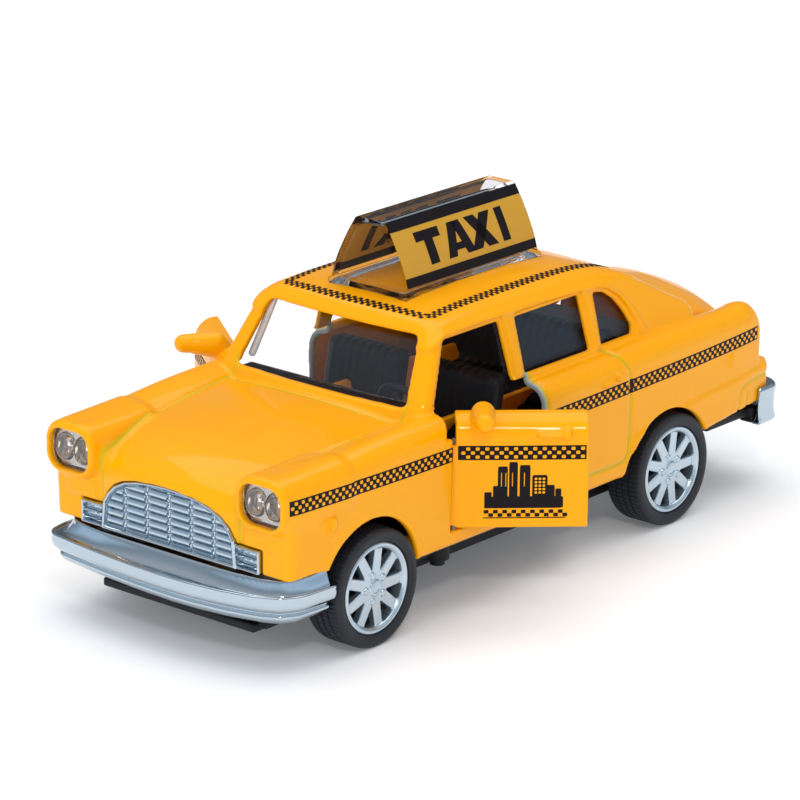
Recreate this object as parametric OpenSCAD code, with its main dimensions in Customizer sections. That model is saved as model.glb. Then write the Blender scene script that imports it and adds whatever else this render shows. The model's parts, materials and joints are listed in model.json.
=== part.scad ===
// Toy taxi: a die-cast saloon car with two opening doors and a flywheel friction motor.
// Millimetres. +X points to the nose, +Y to the car's left, +Z up.
// The origin lies on the ground, midway between the axles.

/* [Running gear] */
// Distance between the axles
wheelbase = 72.5; // [72:0.5:73]
// Outside radius of a tyre
tyre_r = 9.25; // [9.2:0.05:9.3]
// Width of a tyre
tyre_w = 7; // [6.5:0.5:7]
// Distance of a tyre's outer face from the middle plane
tyre_y = 24.3; // [24.2:0.1:24.4]
// Radius of a rim where the tyre sits on it
rim_r = 7.2; // [7.1:0.1:7.3]
// Radius of an axle
axle_r = 1; // [0.9:0.1:1]

/* [Body] */
// Thickness of the cast body and of the door skins
skin_t = 1.2; // [1:0.1:1.3]
// Radius of a front wheel arch
arch_front_r = 10.7; // [10.5:0.1:11]
// Radius of a rear wheel arch
arch_rear_r = 11.4; // [11.2:0.1:11.5]

/* [Doors] */
// Opening angle of the left door
left_open = 47; // [0:0.5:58]
// Opening angle of the right door
right_open = 53; // [0:0.5:58]
// Front edge of a closed door
door_front = 17.8; // [17.7:0.1:17.9]
// Rear edge of a closed door
door_rear = -2.3; // [-2.4:0.1:-2.2]
// Lower edge of a door
door_bottom = 14; // [14:0.1:14.4]
// Upper edge of a door
door_top = 31.7; // [31.5:0.1:31.8]
// Distance of a door's hinge pin forward of the middle of the wheelbase
hinge_x = 18; // [17.9:0.1:18.1]
// Distance of a door's hinge pin from the middle plane
hinge_y = 23.4; // [23.3:0.1:23.4]
// Radius of a hinge pin
pin_r = 0.35; // [0.3:0.05:0.4]

/* [Motor] */
// Gear module
gear_m = 0.5; // [0.5:0.1:0.5]
// Teeth of the gear on the rear axle
axle_teeth = 18; // [18:1:18]
// Teeth of the small idler gear, which the axle gear drives
idler_small_teeth = 9; // [9:1:9]
// Teeth of the large idler gear
idler_large_teeth = 20; // [20:1:20]
// Teeth of the flywheel's pinion
pinion_teeth = 8; // [8:1:8]
// Radius of the flywheel
flywheel_r = 6; // [5.5:0.1:6]
// Thickness of the flywheel
flywheel_w = 4.8; // [4:0.1:4.8]

/* [Hidden] */
$fn = 48;

play = 0.05;                       // radial clearance of a shaft that turns in a hole
far = 200;                         // longer than the car, for cutting bodies
hinge = [hinge_x, hinge_y];
opening_x = [door_rear - 0.5, door_front + 1.7];
mirror_x = door_front - 4.1;
front_x = wheelbase / 2;
rear_x = -wheelbase / 2;
axle_z = tyre_r;

// Gear train: the idler stands up and forward of the rear axle, the flywheel forward of the idler.
idler_angle = 43;
flywheel_angle = -10;
idler_gap = gear_m * (axle_teeth + idler_small_teeth) / 2;
flywheel_gap = gear_m * (idler_large_teeth + pinion_teeth) / 2;
idler_at = [rear_x + idler_gap * cos(idler_angle), axle_z + idler_gap * sin(idler_angle)];
flywheel_at = idler_at + flywheel_gap * [cos(flywheel_angle), sin(flywheel_angle)];
idler_r = 0.5;
case_t = 1;
case_x = [rear_x - 6.2, flywheel_at[0] + flywheel_r + 1.6];
case_y = [-4.6, 11.4];
case_z = [3, 20.6];
shelf_z = 22.1;                    // the rear bench stands on the tub's shelf over the motor
shaft_r = 0.6;                     // the flywheel's shaft
tab_z = 8.6;                       // underside of the motor's two fixing tabs
screw_r = 0.58;
screw_l = 4.5;
post_x = [43, -46.6];              // posts that hold the body to the base plate

// Outlines of the body, seen from the side (x, z), from the front (y, z) and from above (x, y).
waist_side = [
    [55.2, 14.2], [55.4, 27.6], [54.2, 29.4], [50, 30.2], [24, 31.8], [0, 32.2], [-30, 32.6],
    [-52, 32.9], [-56.5, 32.2], [-59.3, 29.5], [-60, 26], [-60.1, 20.6], [-62.2, 20.2],
    [-62.4, 13.6], [-47.5, 13.6], [-25.5, 10.8], [25.5, 10.8], [45.4, 14.2]
];
waist_half = [
    [24, 9], [24.2, 14], [24.4, 20], [24.6, 26.5], [24.5, 28.6], [23.9, 30.2], [22.6, 31.3],
    [20.6, 32], [15, 32.5], [0, 33.2]
];
plan_half = [
    [55.4, 22.4], [53.4, 24.1], [45, 24.4], [20, 24.75], [0, 24.8], [-25, 24.6], [-45, 24.1],
    [-58, 23.3], [-61.2, 22.4], [-62.4, 20.5]
];
hood_side = [
    [40, 14.2], [55.2, 14.2], [55.2, 24.8], [57, 25.2], [56.4, 26.8], [54, 28.7], [45, 30.4],
    [30, 31.7], [20, 32.4], [20, 20]
];
trunk_side = [
    [-36, 37], [-47, 34.4], [-55, 32.3], [-60, 30.6], [-61.6, 29], [-61.9, 20.3], [-36, 20.3]
];
cabin_side = [
    [23.4, 30], [23.4, 31.4], [16.8, 42.6], [14.4, 44.4], [8, 45.5], [-4, 46], [-14, 45.9],
    [-23, 44.9], [-29.5, 43.2], [-33.5, 41.6], [-37, 39.7], [-42, 37], [-47, 34.6], [-47, 30]
];
cabin_half = [
    [20.9, 30], [20.7, 32.2], [18, 42], [16.6, 43.6], [14.4, 44.7], [8, 45.6], [0, 46]
];
window_front = [[13.6, 41], [2, 41], [1.6, 30.5], [19.8, 30.5]];
window_rear = [[-2.8, 41], [-17.5, 41], [-17.8, 32.7], [-2.4, 32.7]];
window_quarter = [[-22.4, 40.6], [-25.2, 40], [-27.6, 37.4], [-28.9, 34], [-28, 33.2], [-21.8, 33.2]];
windscreen_half = [[17, 31.8], [15.2, 41.8]];
backlight_half = [[13, 36.4], [11.4, 41.2]];

pod_y = 19.24;                     // middle of a headlight pod
pod_z = 26.3;
pod_size = [10.2, 9.8];
lens_size = [7.4, 6.6];
grille_base = 15.2;
sign_x = [-21.5, 10.8];
sign_z = [45.9, 56.3];
sign_half = [7.6, 2.6];            // half widths of the roof sign at its foot and its top
sign_t = 0.8;

// ---------- outlines to solids ----------

function mirrored(half) = concat(half, [for (i = [len(half) - 1:-1:0]) [-half[i][0], half[i][1]]]);
function mirrored_plan(half) = concat(half, [for (i = [len(half) - 1:-1:0]) [half[i][0], -half[i][1]]]);

// Extrudes an (x, z) outline across the car between two y values.
module across(y0, y1) { translate([0, y1, 0]) rotate([90, 0, 0]) linear_extrude(y1 - y0) children(); }

// Extrudes a (y, z) outline along the car between two x values.
module along(x0, x1) { translate([x0, 0, 0]) rotate([90, 0, 90]) linear_extrude(x1 - x0) children(); }

module block(low, high) { translate(low) cube(high - low); }

module shaft_y(at, r, y0, y1) { translate([at[0], y1, at[1]]) rotate([90, 0, 0]) cylinder(r = r, h = y1 - y0); }

module inset_outline(points, inset) { offset(delta = -inset) polygon(points); }

module rounded_square(size, r) { offset(r = r) square([size[0] - 2 * r, size[1] - 2 * r], center = true); }

// The part of the car below the windows, shrunk by inset. An open one has no floor.
module waist(inset, open) {
    intersection() {
        across(-far, far) union() {
            inset_outline(waist_side, inset);
            if (open) translate([-46, 0]) square([91, 24]);
        }
        along(-far, far) inset_outline(mirrored(waist_half), inset);
        translate([0, 0, -1]) linear_extrude(far) inset_outline(mirrored_plan(plan_half), inset);
    }
}

module hood(inset) {
    intersection() {
        across(-far, far) inset_outline(hood_side, inset);
        linear_extrude(far) inset_outline([[57, 13.4], [50, 14.6], [20, 17.3], [20, -17.3], [50, -14.6],
            [57, -13.4]], inset);
    }
}

module trunk(inset) {
    intersection() {
        across(-far, far) inset_outline(trunk_side, inset);
        along(-far, far) inset_outline([[-16.5, 20], [-16.5, 32], [-8, 36], [0, 37], [8, 36], [16.5, 32],
            [16.5, 20]], inset);
    }
}

module cabin(inset) {
    intersection() {
        across(-far, far) inset_outline(cabin_side, inset);
        along(-far, far) inset_outline(mirrored(cabin_half), inset);
    }
}

module pod(side) {
    along(44, 57.4) translate([side * pod_y, pod_z]) rounded_square(pod_size, 2.6);
}

module body_outside() {
    difference() {
        waist(0, false);
        block([-far, -16.4, 29.6], [-47, 16.4, far]);
    }
    hood(0);
    trunk(0);
    cabin(0);
    for (side = [-1, 1]) pod(side);
}

module body_inside() {
    difference() {
        waist(skin_t, true);
        block([-far, -17.6, 28.4], [-46, 17.6, far]);
    }
    trunk(skin_t);
    cabin(skin_t);
    block([-44, -19.4, 27], [21.5, 19.4, 32.4]);
}

module grille_outline(grow) {
    offset(delta = grow) {
        intersection() {
            translate([0, 16]) scale([1, 0.62]) circle(r = 14.4);
            translate([-20, grille_base]) square([40, 20]);
        }
        translate([-18.1, grille_base]) square([36.2, 3.6]);
    }
}

// ---------- body ----------

module body_shell() {
    color("gold") difference() {
        union() {
            difference() {
                body_outside();
                body_inside();
            }
            translate([post_x[0], 0, 6.4]) cylinder(r = 1.5, h = 23.6);
            translate([post_x[1], 0, 6.4]) cylinder(r = 1.5, h = 27.6);
        }
        for (x = post_x) translate([x, 0, 6]) cylinder(r = screw_r + 0.02, h = 4);
        across(16, far) polygon(window_front);
        across(-far, -16) polygon(window_front);
        across(-far, far) polygon(window_rear);
        across(-far, far) polygon(window_quarter);
        along(12, 30) polygon(mirrored(windscreen_half));
        along(-50, -28) polygon(mirrored(backlight_half));
        for (side = [-1, 1]) {
            scale([1, side, 1]) block([opening_x[0], 19.2, door_bottom - 0.4], [opening_x[1], 30, door_top + 0.5]);
            along(52, far) translate([side * pod_y, pod_z]) rounded_square(lens_size, 1.8);
            scale([1, side, 1]) shaft_y([front_x + 1.25, axle_z + 0.65], arch_front_r, 15, 30);
            scale([1, side, 1]) shaft_y([rear_x + 1.5, axle_z - 0.9], arch_rear_r, 15, 30);
        }
        along(53, 60) grille_outline(0.05);
        for (side = [-1, 1]) block([-61, side * 20 - 1.6, 23], [-58, side * 20 + 1.6, 28]);
        for (side = [-1, 1])
            scale([1, side, 1]) translate([hinge[0], hinge[1], 11]) cylinder(r = pin_r, h = 20);
    }
}

module glazing() {
    color("lightcyan", 0.4) difference() {
        cabin(skin_t + 0.05);
        cabin(skin_t + 0.85);
        block([-far, -far, 0], [far, far, 32.5]);
        block([-far, -far, 0], [-43.5, far, far]);
        across(15.2, far) polygon([[1, 32], [1, 42.4], [13.4, 42.4], [19.2, 32]]);
        across(-far, -15.2) polygon([[1, 32], [1, 42.4], [13.4, 42.4], [19.2, 32]]);
    }
}

module grille() {
    bar_z = 1.28;
    color("silver") {
        along(54.2, 55) grille_outline(0);
        along(55, 56.2) difference() {
            grille_outline(0);
            grille_outline(-0.6);
        }
        along(55, 55.9) intersection() {
            grille_outline(-0.3);
            union() {
                for (row = [0:7]) translate([-20, grille_base + 0.9 + row * bar_z]) square([40, 0.7]);
                for (column = [-3:3]) translate([column * 4 - 0.25, grille_base]) square([0.5, 12]);
            }
        }
    }
}

// A bumper's plan: a bowed front that wraps round both corners.
module bumper_plan(nose, corner, tail, half) {
    polygon([[tail, half], [corner + 2.4, half - 0.3], [corner + 5.2, half - 2.4], [nose - 1.8, half - 6],
        [nose - 0.3, half - 14], [nose, 0], [nose - 0.3, 14 - half], [nose - 1.8, 6 - half],
        [corner + 5.2, 2.4 - half], [corner + 2.4, 0.3 - half], [tail, -half]]);
}

module front_bumper() {
    color("silver") difference() {
        union() {
            translate([0, 0, 9.7]) linear_extrude(2.6) bumper_plan(60, 51, 45.8, 24.5);
            translate([0, 0, 6.8]) linear_extrude(2.9) bumper_plan(58.4, 50, 45.8, 23.6);
            translate([0, 0, 12.3]) linear_extrude(1.9) bumper_plan(57.6, 49, 45.8, 23);
        }
        translate([0, 0, 6]) linear_extrude(7.4) bumper_plan(56.4, 47.4, 44, 22.2);
        block([40, -20, 6], [52, 20, 16]);
    }
}

module rear_bumper() {
    color("silver") difference() {
        translate([0, 0, 10.6]) linear_extrude(6.4) scale([-1, 1])
            polygon([[60.6, 24.1], [64.6, 23.9], [66.4, 22], [67.5, 14], [67.8, 0], [67.5, -14],
                [66.4, -22], [64.6, -23.9], [60.6, -24.1]]);
        block([-64.6, -22.6, 10], [-55, 22.6, 17.6]);
        block([-65.6, -20.5, 10], [-60, 20.5, 14]);
    }
}

module headlight_lens(side) {
    color("white", 0.5) along(55.4, 57) translate([side * pod_y, pod_z])
        rounded_square(lens_size - [0.1, 0.1], 1.75);
}

module headlight_reflector(side) {
    color("dimgray") difference() {
        along(52, 55.4) translate([side * pod_y, pod_z]) rounded_square(lens_size - [0.1, 0.1], 1.75);
        for (step = [-1, 1])
            translate([53, side * pod_y + step * 1.75, pod_z]) rotate([0, 90, 0]) cylinder(r = 1.4, h = 5);
    }
}

module tail_light(side) {
    color("firebrick") block([-60.8, side * 20 - 1.5, 23.1], [-58.4, side * 20 + 1.5, 27.9]);
}

module sign_outline(inset) {
    foot = sign_half[0] - inset;
    top = sign_half[1] - inset * 0.7;
    low = sign_z[0] + inset;
    high = sign_z[1] - inset;
    bow = 0.5;
    middle = (foot + top) / 2 + bow;
    polygon([[-foot, low], [foot, low], [middle, (low + high) / 2], [top, high], [-top, high],
        [-middle, (low + high) / 2]]);
}

module roof_sign() {
    color("wheat", 0.6) {
        difference() {
            along(sign_x[0], sign_x[1]) sign_outline(0);
            along(sign_x[0] + sign_t, sign_x[1] - sign_t) sign_outline(sign_t);
            block([sign_x[0] + 3, -4, 45], [sign_x[1] - 3, 4, 47]);
        }
        difference() {
            block([sign_x[0] - 0.5, -8.2, 45], [sign_x[1] + 0.5, 8.2, sign_z[0]]);
            cabin(0);
            block([sign_x[0] + 3, -4, 44], [sign_x[1] - 3, 4, 47]);
        }
    }
}

// A printed label on the sloping side of the roof sign.
module sign_label(side) {
    color("goldenrod") intersection() {
        along(sign_x[0] + 1, sign_x[1] - 1) difference() {
            offset(delta = 0.15) sign_outline(0);
            sign_outline(0);
        }
        scale([1, side, 1]) block([-30, 2.9, sign_z[0] + 0.8], [30, 9, sign_z[1] - 0.8]);
    }
}

// ---------- base and interior ----------

// Places of the six screws that hold the base plate: four go into the tub, two into the body's posts.
tub_screws = [for (x = [-14, 14], y = [-17, 17]) [x, y, 6.2]];
post_screws = [for (x = post_x) [x, 0, 5]];
screw_places = concat(tub_screws, post_screws);

function tab_x() = [case_x[0] - 1.2, case_x[1] + 1.2];

module chassis() {
    color("#181818") difference() {
        union() {
            block([-48.3, -15.4, 5], [54, 15.4, 6.4]);
            block([46, -17, 5], [52.5, 17, 12.2]);
            block([-24.4, -22.2, 6.2], [24.4, 22.2, 8]);
            for (side = [-1, 1]) scale([1, side, 1]) block([-24.4, 21, 7.9], [24.4, 22.2, 10.7]);
            block([-60.5, -21.6, 11.9], [-48.5, 21.6, 13.4]);
            block([-49.7, -15.4, 5], [-48.2, 15.4, 12]);
            for (x = [front_x, rear_x], side = [-1, 1])
                scale([1, side, 1]) block([x - 3, 12.4, 6.3], [x + 3, 15.4, 12.6]);
            block([52.4, -3, 8.5], [56.29, 3, 11.5]);
            for (side = [-1, 1]) scale([1, side, 1]) {
                block([-65.6, 10, 11.9], [-60.4, 14, 13.4]);
                block([-62, 19.6, 10.7], [-60, 22.3, 13.4]);
            }
            for (x = tab_x()) translate([x, 0, 6.3]) cylinder(r = 0.95, h = tab_z - 6.3);
        }
        for (x = [front_x, rear_x]) shaft_y([x, axle_z], axle_r + play, -30, 30);
        block([case_x[0] - 0.2, case_y[0] - case_t - 0.2, 0], [case_x[1] + 0.2, case_y[1] + 0.2, 9]);
        for (at = screw_places) translate([at[0], at[1], at[2] - 1]) cylinder(r = screw_r + 0.02, h = 4);
        for (x = tab_x()) translate([x, 0, 6]) cylinder(r = 0.5, h = 4);
    }
}

module interior_tub() {
    color("#202020") {
        block([-16.4, -20.6, 10.8], [21.4, 20.6, 12]);
        block([-16.4, -20.6, 11.9], [-15.2, 20.6, shelf_z]);
        block([-31.5, -20.6, shelf_z - 1.2], [-15.2, 20.6, shelf_z]);
        block([-31.5, -20.6, shelf_z - 0.1], [-30.3, 20.6, 30.5]);
        block([-38, -17.6, 30.4], [-30.3, 17.6, 31.4]);
        for (at = tub_screws) translate([at[0], at[1], 8]) difference() {
            cylinder(r = 1.6, h = 2.9);
            translate([0, 0, -1]) cylinder(r = screw_r + 0.02, h = 3.8);
        }
    }
}

// A bench or bucket seat: a cushion and a leaning, ribbed back.
module seat(x, y0, y1, floor_z, cushion_h, back_z, ribs) {
    lean = 3;
    color("#1c1c1c") {
        block([x, y0, floor_z], [x + 11, y1, floor_z + cushion_h]);
        across(y0, y1) polygon([[x, floor_z + cushion_h], [x + 3, floor_z + cushion_h],
            [x + 3 - lean, back_z], [x - lean, back_z]]);
        for (i = [0:ribs - 1]) {
            y = y0 + (i + 0.5) * (y1 - y0) / ribs;
            across(y - 0.3, y + 0.3) polygon([[x + 3, floor_z + cushion_h], [x + 3.7, floor_z + cushion_h],
                [x + 3.6 - lean, back_z - 0.6], [x + 3 - lean, back_z - 0.6]]);
        }
    }
}

module front_seat(side) { scale([1, side, 1]) seat(0, 2.2, 17.2, 12, 6, 32, 9); }

module rear_seat() { seat(-27, -17, 17, shelf_z, 2, 33, 20); }

module dashboard() {
    color("#1a1a1a") difference() {
        union() {
            block([16.6, -18.6, 24.5], [20.8, 18.6, 31.2]);
            block([20.2, -19, 12], [21.4, 19, 24.5]);
        }
        translate([17, 9.5, 26.5]) rotate([0, -65, 0]) cylinder(r = 0.8, h = 20, center = true);
    }
}

module steering_wheel() {
    color("#101010") translate([17, 9.5, 26.5]) rotate([0, -65, 0]) {
        translate([0, 0, -1.8]) cylinder(r = 0.8, h = 6.6);
        translate([0, 0, 4.3]) rotate_extrude() translate([4.6, 0]) circle(r = 0.55, $fn = 24);
        for (a = [90:120:330]) rotate([0, 0, a]) translate([0, -0.5, 4]) cube([4.5, 1, 0.6]);
    }
}

// ---------- doors ----------

// Turns a door about its hinge pin, and puts it on its side of the car.
module hang_door(side, open) {
    scale([1, side, 1]) translate([hinge[0], hinge[1], 0]) rotate([0, 0, -open])
        translate([-hinge[0], -hinge[1], 0]) children();
}

module door_skin() {
    intersection() {
        difference() {
            waist(0, false);
            waist(skin_t, true);
        }
        block([door_rear, 20.7, door_bottom], [door_front, 30, door_top]);
    }
    intersection() {
        waist(0, false);
        translate([hinge[0], hinge[1], door_bottom + 0.3]) cylinder(r = 1.15, h = 13);
    }
}

module mirror_bullet() {
    hull() {
        translate([mirror_x, 23.4, 32.1]) sphere(r = 1.85, $fn = 24);
        translate([mirror_x, 29.1, 32.3]) sphere(r = 1.45, $fn = 24);
        translate([mirror_x, 23, 30.6]) sphere(r = 1.5, $fn = 24);
    }
}

module door(side, open) {
    color("gold") hang_door(side, open) difference() {
        union() {
            door_skin();
            difference() {
                mirror_bullet();
                waist(0.4, true);
            }
            block([1.5, 24.2, 28.6], [5.5, 25.3, 29.2]);
            shaft_y([1.1, 28.9], 0.9, 24, 25.4);
        }
        translate([hinge[0], hinge[1], 0]) cylinder(r = pin_r + play, h = far);
    }
}

module door_card(side, open) {
    color("#161616") hang_door(side, open) intersection() {
        block([-0.8, 20.9, 15.4], [15.6, 23.8, 30.8]);
        waist(skin_t, true);
    }
}

module hinge_pin(side) {
    color("silver") translate([hinge[0], side * hinge[1], 11.2]) cylinder(r = pin_r - 0.02, h = 16.8);
}

// ---------- wheels ----------

module tyre(x, side) {
    groove = 0.35;
    color("#141414") scale([1, side, 1]) translate([x, tyre_y, axle_z]) rotate([90, 0, 0]) rotate_extrude($fn = 96)
        polygon(concat(
            [[rim_r, 0], [8.6, 0], [9.05, 0.25], [tyre_r, 0.7]],
            [for (i = [0:3], p = [[0, 0], [-groove, 0.15], [-groove, 0.45], [0, 0.6]])
                [tyre_r + p[0], 1.4 + i * 1.25 + p[1]]],
            [[tyre_r, 6.3], [9.05, 6.8], [8.6, tyre_w], [rim_r, tyre_w]]));
}

module rim(x, side) {
    spokes = 9;
    face = 0.4;                    // the rim's face lies this far inside the tyre's outer plane
    color("silver") scale([1, side, 1]) translate([x, tyre_y - face, axle_z]) rotate([90, 0, 0]) difference() {
        union() {
            difference() {
                cylinder(r = rim_r, h = 6, $fn = 96);
                translate([0, 0, 1]) cylinder(r = 6.1, h = 6);
                translate([0, 0, -1]) cylinder(r = 6.2, h = 1.5);
            }
            cylinder(r = 2.1, h = 5.4);
            for (i = [0:4]) rotate(i * 72 + 18) translate([1.9, 0, -0.1]) cylinder(r = 0.36, h = 1);
        }
        for (i = [0:spokes - 1]) rotate(i * 360 / spokes) translate([0, 0, -0.5]) linear_extrude(2)
            polygon([[2.9, -0.35], [5.6, -1.3], [5.75, 0], [5.6, 1.3], [2.9, 0.35]]);
        translate([0, 0, 1.3]) cylinder(r = axle_r, h = 6);
    }
}

module axle(x) {
    end = tyre_y - 0.4 - 1.3;
    color("silver") shaft_y([x, axle_z], axle_r, -end, end);
}

// ---------- friction motor ----------

// One tooth's flanks lean in towards a narrow tip, so meshed gears keep some play.
module gear_outline(teeth, turn) {
    pitch_r = gear_m * teeth / 2;
    root_r = pitch_r - 1.15 * gear_m;
    tip_r = pitch_r + 0.85 * gear_m;
    root_w = gear_m * 0.82;
    pitch_w = gear_m * 0.62;
    tip_w = gear_m * 0.25;
    rotate(turn) {
        circle(r = root_r);
        for (i = [0:teeth - 1]) rotate(i * 360 / teeth)
            polygon([[root_r * 0.9, -root_w], [root_r, -root_w], [pitch_r, -pitch_w], [tip_r, -tip_w],
                [tip_r, tip_w], [pitch_r, pitch_w], [root_r, root_w], [root_r * 0.9, root_w]]);
    }
}

module gear(at, y0, y1, teeth, turn, bore) {
    across(y0, y1) translate(at) difference() {
        gear_outline(teeth, turn);
        circle(r = bore);
    }
}

module axle_gear() {
    color("ivory") {
        gear([rear_x, axle_z], -1, 1, axle_teeth, idler_angle, axle_r);
        across(-2.4, -1) translate([rear_x, axle_z]) difference() {
            circle(r = 2.2);
            circle(r = axle_r);
        }
    }
}

module idler_gear() {
    color("ivory") {
        gear(idler_at, -1.2, 1.2, idler_small_teeth, idler_angle + 180 + 180 / idler_small_teeth, idler_r);
        gear(idler_at, 1.2, 3.2, idler_large_teeth, flywheel_angle, idler_r);
    }
}

module idler_shaft() {
    color("silver") shaft_y(idler_at, idler_r, case_y[0] - 0.6, case_y[1] - 0.1);
}

module flywheel_pinion() {
    color("silver") {
        across(1.1, 3.4) translate(flywheel_at)
            gear_outline(pinion_teeth, flywheel_angle + 180 + 180 / pinion_teeth);
        shaft_y(flywheel_at, shaft_r, case_y[0] - 0.6, 1.1);
        shaft_y(flywheel_at, shaft_r, 3.4, case_y[1] - 0.1);
    }
}

module flywheel() {
    color("gray") across(4.6, 4.6 + flywheel_w) translate(flywheel_at) difference() {
        circle(r = flywheel_r);
        circle(r = shaft_r);
    }
}

module shaft_holes() {
    shaft_y([rear_x, axle_z], axle_r + play, -30, 30);
    shaft_y(idler_at, idler_r + play, -30, 30);
    shaft_y(flywheel_at, shaft_r + play, -30, 30);
}

module motor_case() {
    color("dimgray") difference() {
        union() {
            block([case_x[0], case_y[0], case_z[0]], [case_x[1], case_y[1], case_z[1]]);
            for (x = [case_x[0] - 2.4, case_x[1] - 0.1])
                block([x, -2.6, tab_z], [x + 2.5, 2.4, tab_z + 1.2]);
        }
        block([case_x[0] + case_t, case_y[0] - 1, case_z[0] + case_t],
            [case_x[1] - case_t, case_y[1] - case_t, case_z[1] - case_t]);
        shaft_holes();
        for (x = tab_x()) translate([x, 0, 8]) cylinder(r = 0.5, h = 4);
    }
}

module motor_cover() {
    color("gray") difference() {
        block([case_x[0], case_y[0] - case_t, case_z[0]], [case_x[1], case_y[0], case_z[1]]);
        shaft_holes();
    }
}

// A cross-head screw whose thread end points up (1) or down (-1).
module screw(at, up, length, r) {
    translate(at) scale([1, 1, up]) {
        cylinder(r = r, h = length);
        difference() {
            translate([0, 0, -0.8]) cylinder(r = r * 2, h = 0.8);
            block([-r * 1.5, -0.12, -1], [r * 1.5, 0.12, -0.5]);
            block([-0.12, -r * 1.5, -1], [0.12, r * 1.5, -0.5]);
        }
    }
}

module chassis_screws() {
    color("silver") for (at = screw_places) screw(at, 1, screw_l, screw_r);
}

module motor_screws() {
    color("silver") for (x = tab_x()) screw([x, 0, tab_z + 1.2], -1, 3.2, 0.48);
}

body_shell();
glazing();
grille();
front_bumper();
rear_bumper();
headlight_lens(1);  // left_headlight_lens
headlight_lens(-1);  // right_headlight_lens
headlight_reflector(1);  // left_headlight_reflector
headlight_reflector(-1);  // right_headlight_reflector
tail_light(1);  // left_tail_light
tail_light(-1);  // right_tail_light
roof_sign();
sign_label(1);  // left_sign_label
sign_label(-1);  // right_sign_label
chassis();
interior_tub();
front_seat(1);  // left_front_seat
front_seat(-1);  // right_front_seat
rear_seat();
dashboard();
steering_wheel();
hinge_pin(1);  // left_hinge_pin
hinge_pin(-1);  // right_hinge_pin
door(1, left_open);  // left_door
door(-1, right_open);  // right_door
door_card(1, left_open);  // left_door_card
door_card(-1, right_open);  // right_door_card
axle(front_x);  // front_axle
axle(rear_x);  // rear_axle
tyre(front_x, 1);  // front_left_tyre
tyre(front_x, -1);  // front_right_tyre
tyre(rear_x, 1);  // rear_left_tyre
tyre(rear_x, -1);  // rear_right_tyre
rim(front_x, 1);  // front_left_rim
rim(front_x, -1);  // front_right_rim
rim(rear_x, 1);  // rear_left_rim
rim(rear_x, -1);  // rear_right_rim
motor_case();
motor_cover();
axle_gear();
idler_gear();
idler_shaft();
flywheel();
flywheel_pinion();
chassis_screws();
motor_screws();
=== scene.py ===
"""Looks for the toy taxi: painted shell, chrome, glass, wheels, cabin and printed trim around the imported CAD.

Shapes are worked out in millimetres in the CAD frame (+X nose, +Y left, +Z up) and written in metres.
"""
import json
import math
from concurrent.futures import ThreadPoolExecutor

import bpy
import numpy as np
from mathutils import Matrix, Vector


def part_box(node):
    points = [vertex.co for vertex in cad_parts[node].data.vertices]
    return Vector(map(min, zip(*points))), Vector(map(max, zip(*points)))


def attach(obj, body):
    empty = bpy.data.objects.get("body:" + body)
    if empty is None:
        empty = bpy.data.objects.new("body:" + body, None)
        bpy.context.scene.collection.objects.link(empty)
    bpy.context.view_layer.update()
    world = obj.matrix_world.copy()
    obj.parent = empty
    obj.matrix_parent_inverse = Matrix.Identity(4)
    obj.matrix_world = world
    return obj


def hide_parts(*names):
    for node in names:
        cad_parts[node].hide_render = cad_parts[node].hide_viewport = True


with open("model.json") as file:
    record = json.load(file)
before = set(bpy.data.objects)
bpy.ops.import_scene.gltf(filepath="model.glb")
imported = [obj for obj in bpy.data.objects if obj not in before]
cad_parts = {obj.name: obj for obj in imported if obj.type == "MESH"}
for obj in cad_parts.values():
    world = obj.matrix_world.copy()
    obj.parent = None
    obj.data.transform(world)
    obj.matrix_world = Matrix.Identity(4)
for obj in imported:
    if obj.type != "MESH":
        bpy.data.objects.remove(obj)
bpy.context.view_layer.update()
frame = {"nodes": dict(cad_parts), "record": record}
MM = 0.001
FAR = 500.0


def cad_box(node):
    """Lowest and highest corner of a CAD node, in millimetres."""
    low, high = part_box(node)
    return np.array(low) / MM, np.array(high) / MM


def joint(name):
    return next(j for j in frame["record"]["behaviour"]["joints"] if j["name"] == name)


HINGE = np.array(joint("left_door_hinge")["pos_m"]) / MM
FRONT_AXLE = np.array(joint("front_axle_spin")["pos_m"]) / MM
REAR_AXLE = np.array(joint("rear_axle_spin")["pos_m"]) / MM
OPEN_ANGLE = {1: -joint("left_door_hinge")["range_deg"][0], -1: -joint("right_door_hinge")["range_deg"][0]}

# ---------- body outlines, in millimetres ----------
PLAN = [(-63, 22.6), (-58, 23.2), (-45, 24.0), (-25, 24.45), (0, 24.6), (20, 24.55), (45, 24.3), (57, 23.9)]
RIDGE = [(-62.5, 28.0), (-61.2, 30.0), (-59.9, 31.3), (-58.2, 31.9), (-54.5, 31.8), (-48, 31.9), (-38, 32.2),
         (-30, 32.1), (-20, 31.8), (0, 31.6), (20, 31.8), (30, 31.7), (43, 30.9), (50, 30.5), (56, 30.1),
         (60, 29.8)]
ENDS = [(55.3, 11), (55.3, 40), (-61.4, 40), (-61.4, 21.9), (-63.7, 21.3), (-63.7, 11)]
FLOOR = [(-64, 14.8), (-57, 14.6), (-49, 14.1), (-45, 13.8), (-25.5, 10.8), (25.5, 10.8), (43, 14.4),
         (48, 15.1), (60, 15.1)]
HOOD = [(22, 10), (22, 31.5), (30, 31.3), (38, 30.9), (45, 30.2), (50, 29.2), (53.5, 27.9), (56, 26.3),
        (57.2, 24.6), (57.2, 10)]
HOOD_HALF = [(18, 17.4), (30, 16.6), (43, 15.3), (50, 14.2), (55, 13.8), (58, 13.7)]
TRUNK = [(-34, 20), (-34, 39), (-38, 38), (-44, 36.0), (-50, 35.0), (-56, 33.6), (-60.8, 31.8), (-62.6, 29.9),
         (-62.9, 20), (-63, 10), (-51, 10), (-51, 20)]
TRUNK_HALF = [(-63, 15.6), (-55, 16.2), (-44, 16.8), (-34, 17.4)]
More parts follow.
